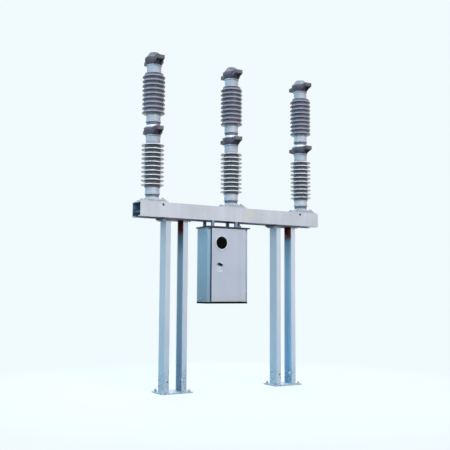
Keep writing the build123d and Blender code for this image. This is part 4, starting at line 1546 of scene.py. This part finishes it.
class BREAKER_OT_stage(bpy.types.Operator):
    """Set the floor, the light and the camera"""

    bl_idname = "breaker.stage"
    bl_label = "Stage"

    def floor(self, stage):
        """A pale floor that takes the shadow near the breaker and fades into the backdrop."""
        shape = bmesh.new()
        bmesh.ops.create_grid(shape, x_segments=1, y_segments=1, size=stage.floor)
        finish = Finish("pale_floor")
        seen = finish.seen()
        far = 0.6 + 0.4 * finish.axis("X").diagonal(finish.axis("Y")).rise(*stage.shadow)
        matt = finish.mix(seen, stage.bounce, stage.backdrop)
        near = finish.node("ShaderNodeBsdfDiffuse", sockets={"Color": matt})
        glow = finish.node("ShaderNodeEmission", sockets={"Color": stage.backdrop, "Strength": 1.0})
        whole = finish.node("ShaderNodeMixShader", sockets={0: far * seen, 1: near, 2: glow})
        finish.end("Material Output", whole)
        finish.tree.nodes.remove(finish.shader)
        mesh = plain_mesh(shape)
        mesh.materials.append(finish.material)
        placed("floor", mesh)

    def sun(self, stage, name):
        """A soft sun that looks at the middle of the breaker."""
        data = bpy.data.lights.new(name, "SUN")
        data.energy = getattr(stage, name)
        data.color = getattr(stage, f"{name}_tint")
        data.angle = getattr(stage, f"{name}_spread")
        made = placed(name, data)
        made.location = getattr(stage, f"{name}_place")
        middle = Vector((0, 0, cad_box[1][2] / 2))
        made.rotation_euler = (middle - made.location).to_track_quat("-Z", "Y").to_euler()

    def sky(self, stage):
        """Soft light from all round, cooler and stronger from the left, and the backdrop where seen."""
        world = bpy.data.worlds.new("studio")
        bpy.context.scene.world = world
        world.use_nodes = True
        sky = Shading(world.node_tree)
        sky.tree.nodes.remove(sky.tree.nodes["Background"])
        direction = sky.node("ShaderNodeTexCoord", out="Generated")
        left = sky.node("ShaderNodeSeparateXYZ", sockets={"Vector": direction}, out="X").rise(0.0, -1.0)
        around, cool, backdrop = (
            sky.node("ShaderNodeBackground", sockets={"Color": tint, "Strength": power})
            for tint, power in (
                (stage.sky_tint, stage.sky), (stage.side_tint, left * stage.side), (stage.backdrop, 1.0))
        )
        light = sky.node("ShaderNodeAddShader", sockets={0: around, 1: cool})
        whole = sky.node("ShaderNodeMixShader", sockets={0: sky.seen(), 1: light, 2: backdrop})
        sky.end("World Output", whole)

    def camera(self, stage):
        """The camera at its place, looking along its heading and pitch."""
        data = bpy.data.cameras.new("camera")
        data.lens = stage.lens
        camera = placed("camera", data)
        heading, pitch = stage.heading, stage.pitch
        level = math.cos(pitch)
        look = Vector((level * math.sin(heading), level * math.cos(heading), math.sin(pitch)))
        turn = look.to_track_quat("-Z", "Y").to_matrix().to_4x4()
        camera.matrix_world = Matrix.Translation(stage.camera) @ turn @ Matrix.Rotation(stage.roll, 4, "Z")
        bpy.context.scene.camera = camera

    def execute(self, context):
        stage = context.scene.breaker_stage
        context.scene.view_settings.view_transform = "Standard"
        self.floor(stage)
        self.sky(stage)
        self.sun(stage, "key")
        self.sun(stage, "back")
        self.camera(stage)
        return {"FINISHED"}


class BREAKER_PT_panel(bpy.types.Panel):
    """Sizes, colours and pieces of the breaker"""

    bl_idname = "BREAKER_PT_panel"
    bl_label = "Circuit breaker"
    bl_space_type = "VIEW_3D"
    bl_region_type = "UI"
    bl_category = "Breaker"

    def draw(self, context):
        for operator in operators:
            self.layout.operator(operator.bl_idname)
        for group in groups:
            settings = getattr(context.scene, group)
            box = self.layout.box()
            for name in settings.bl_rna.properties.keys():
                if name not in ("rna_type", "name"):
                    box.prop(settings, name)


operators = (
    BREAKER_OT_finishes, BREAKER_OT_beam, BREAKER_OT_legs, BREAKER_OT_porcelain, BREAKER_OT_castings,
    BREAKER_OT_drive, BREAKER_OT_cabinet, BREAKER_OT_door, BREAKER_OT_mechanism, BREAKER_OT_fasteners,
    BREAKER_OT_stage,
)
groups = {
    "breaker_colours": BreakerColours, "breaker_sizes": BreakerSizes, "breaker_wear": BreakerWear,
    "breaker_stage": BreakerStage,
}


def register():
    """Add the classes and their settings to Blender."""
    for item in (*groups.values(), *operators, BREAKER_PT_panel):
        bpy.utils.register_class(item)
    for name, group in groups.items():
        setattr(bpy.types.Scene, name, PointerProperty(type=group))


def unregister():
    """Take the settings and the classes out again."""
    for name in groups:
        delattr(bpy.types.Scene, name)
    for item in (BREAKER_PT_panel, *reversed(operators), *groups.values()):
        bpy.utils.unregister_class(item)


def main():
    """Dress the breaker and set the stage."""
    register()
    for operator in operators:
        group, name = operator.bl_idname.split(".")
        getattr(getattr(bpy.ops, group), name)()


if __name__ == "__main__":
    main()
